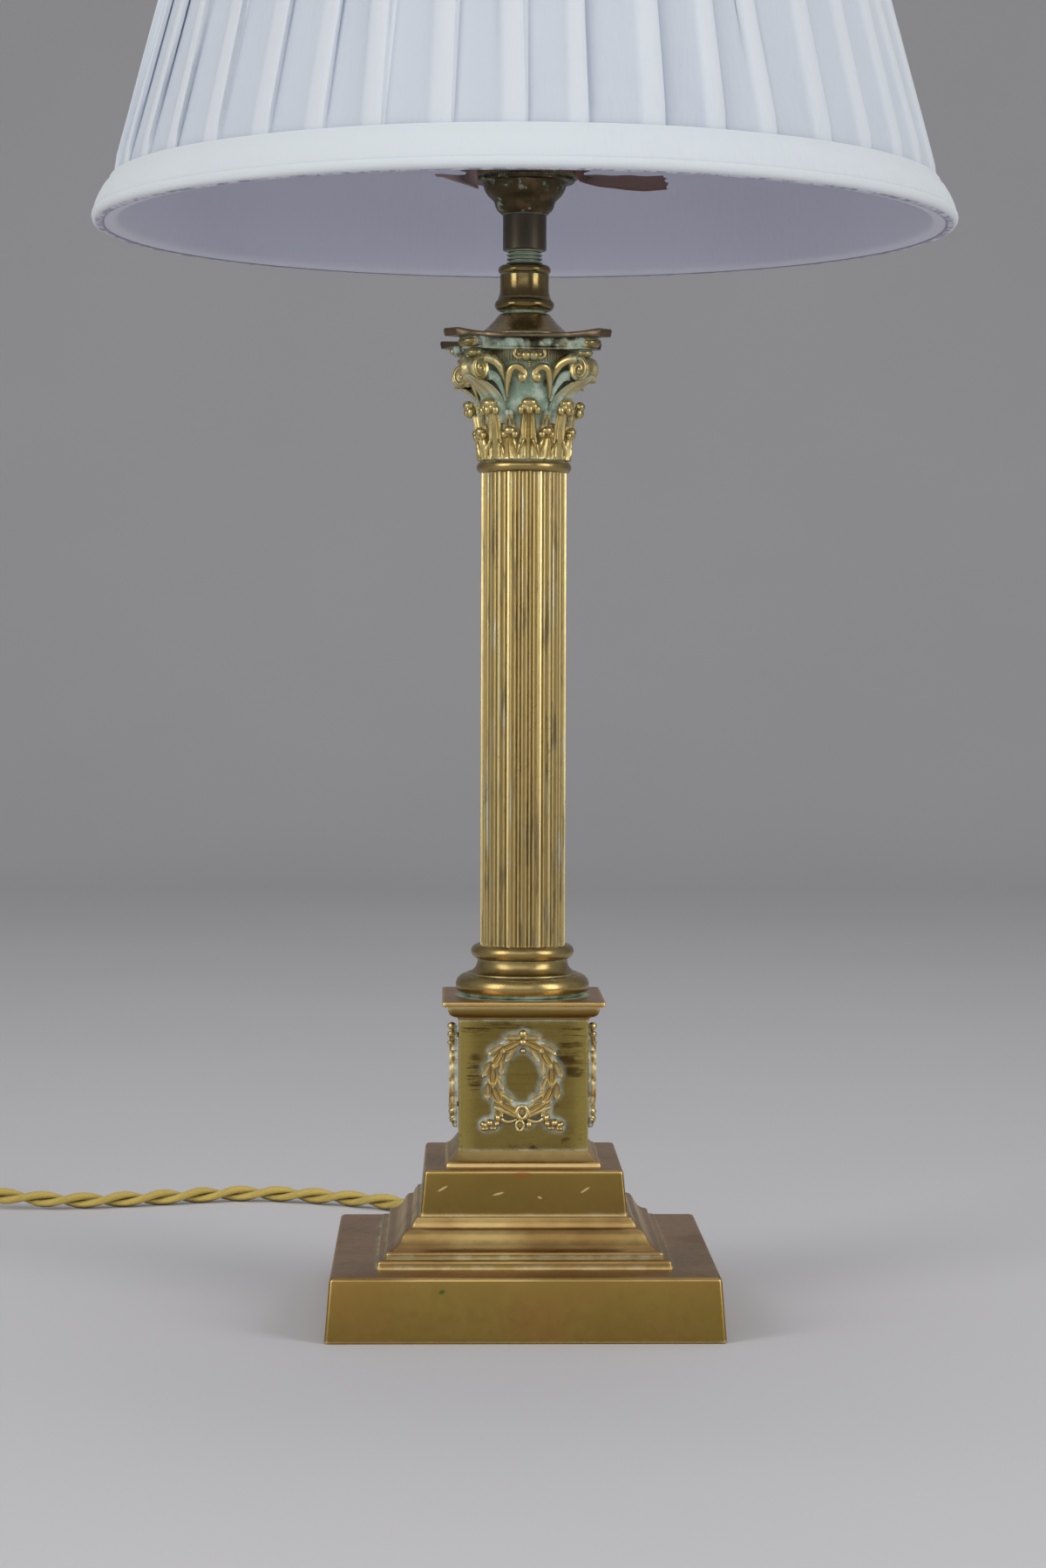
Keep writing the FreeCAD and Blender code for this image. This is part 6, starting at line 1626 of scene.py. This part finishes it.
def make_room():
    """A pale floor that turns up into a backdrop, and soft lamps."""
    finish = Finish("pale backdrop")
    cloud = finish.noise(3.0, 3.0)
    finish.set(Base_Color=finish.mix(cloud, srgb(206, 203, 204), srgb(198, 196, 197)),
               Roughness=0.85)
    outline = [(-6.0, 0.0), (2.2, 0.0)]
    outline += [(2.2 + math.sin(a) * 1.2, 1.2 - math.cos(a) * 1.2)
                for a in (math.pi / 2 * step / 16 for step in range(1, 17))]
    outline.append((3.4, 5.0))
    points = [(x * 1000, deep * 1000, up * 1000) for deep, up in outline for x in (-6.0, 6.0)]
    mesh = bpy.data.meshes.new("backdrop")
    mesh.from_pydata([Vector(point) * MM for point in points], [], grid(len(outline), 2))
    mesh.polygons.foreach_set("use_smooth", [True] * len(mesh.polygons))
    mesh.materials.append(finish.done())
    linked("backdrop", mesh)

    world = bpy.data.worlds.new("soft room")
    bpy.context.scene.world = world
    world.use_nodes = True
    tree = Tree(world.node_tree.nodes, world.node_tree.links)
    path = tree.nodes.new("ShaderNodeLightPath")
    seen = Field(tree, path.outputs["Is Camera Ray"])
    seen = seen.larger(Field(tree, path.outputs["Is Transmission Ray"]))
    soft = tree.node("ShaderNodeBackground", None, {"Color": (0.92, 0.95, 1.0),
                                                    "Strength": 0.34})
    shown = tree.node("ShaderNodeBackground", None, {"Color": (0.62, 0.61, 0.61),
                                                     "Strength": 1.0})
    both = tree.node("ShaderNodeMixShader", None, {0: seen, 1: soft, 2: shown})
    tree.links.new(both.socket, tree.nodes["World Output"].inputs[0])

    for name, spot, aim, power, width, height in (
            ("left window", (-1.28, -0.98, 0.85), (0, 0, 0.3), 12, 0.7, 1.3),
            ("right window", (1.28, -0.98, 0.85), (0, 0, 0.3), 12.5, 0.7, 1.3),
            ("front wall", (-0.3, -2.3, 1.2), (0, 0, 0.25), 10, 2.2, 1.6),
            ("top light", (0.1, 0.5, 1.9), (0, 0, 0.2), 6, 1.2, 1.2)):
        light = bpy.data.lights.new(name, "AREA")
        light.shape = "RECTANGLE"
        light.size, light.size_y, light.energy = width, height, power
        lamp = linked(name, light)
        lamp.location = spot
        lamp.rotation_euler = (Vector(aim) - Vector(spot)).to_track_quat("-Z", "Y").to_euler()


def make_camera():
    data = bpy.data.cameras.new("camera")
    data.lens = 77.6
    data.clip_end = 50
    camera = linked("camera", data)
    pitch = math.radians(2.10)
    way = Vector((0.0236 * math.cos(pitch), 0.9997 * math.cos(pitch), -math.sin(pitch)))
    turn = way.to_track_quat("-Z", "Y") @ Quaternion((0, 0, 1), math.radians(0.18))
    camera.rotation_euler = turn.to_euler()
    camera.location = (-0.0286, -1.2127, 0.2331)
    bpy.context.scene.camera = camera
    bpy.context.scene.view_settings.view_transform = "Standard"


make_camera()
finishes = make_finishes()
make_cords(finishes)
make_room()
dress_nodes(finishes)
make_pedestal(finishes)
make_column(finishes)
make_capital(finishes)
make_wreaths(finishes)
make_neck(finishes)
make_springs(finishes)
make_rings(finishes)
make_packing(finishes)
make_cover(finishes)
make_lining(finishes)
make_trims(finishes)
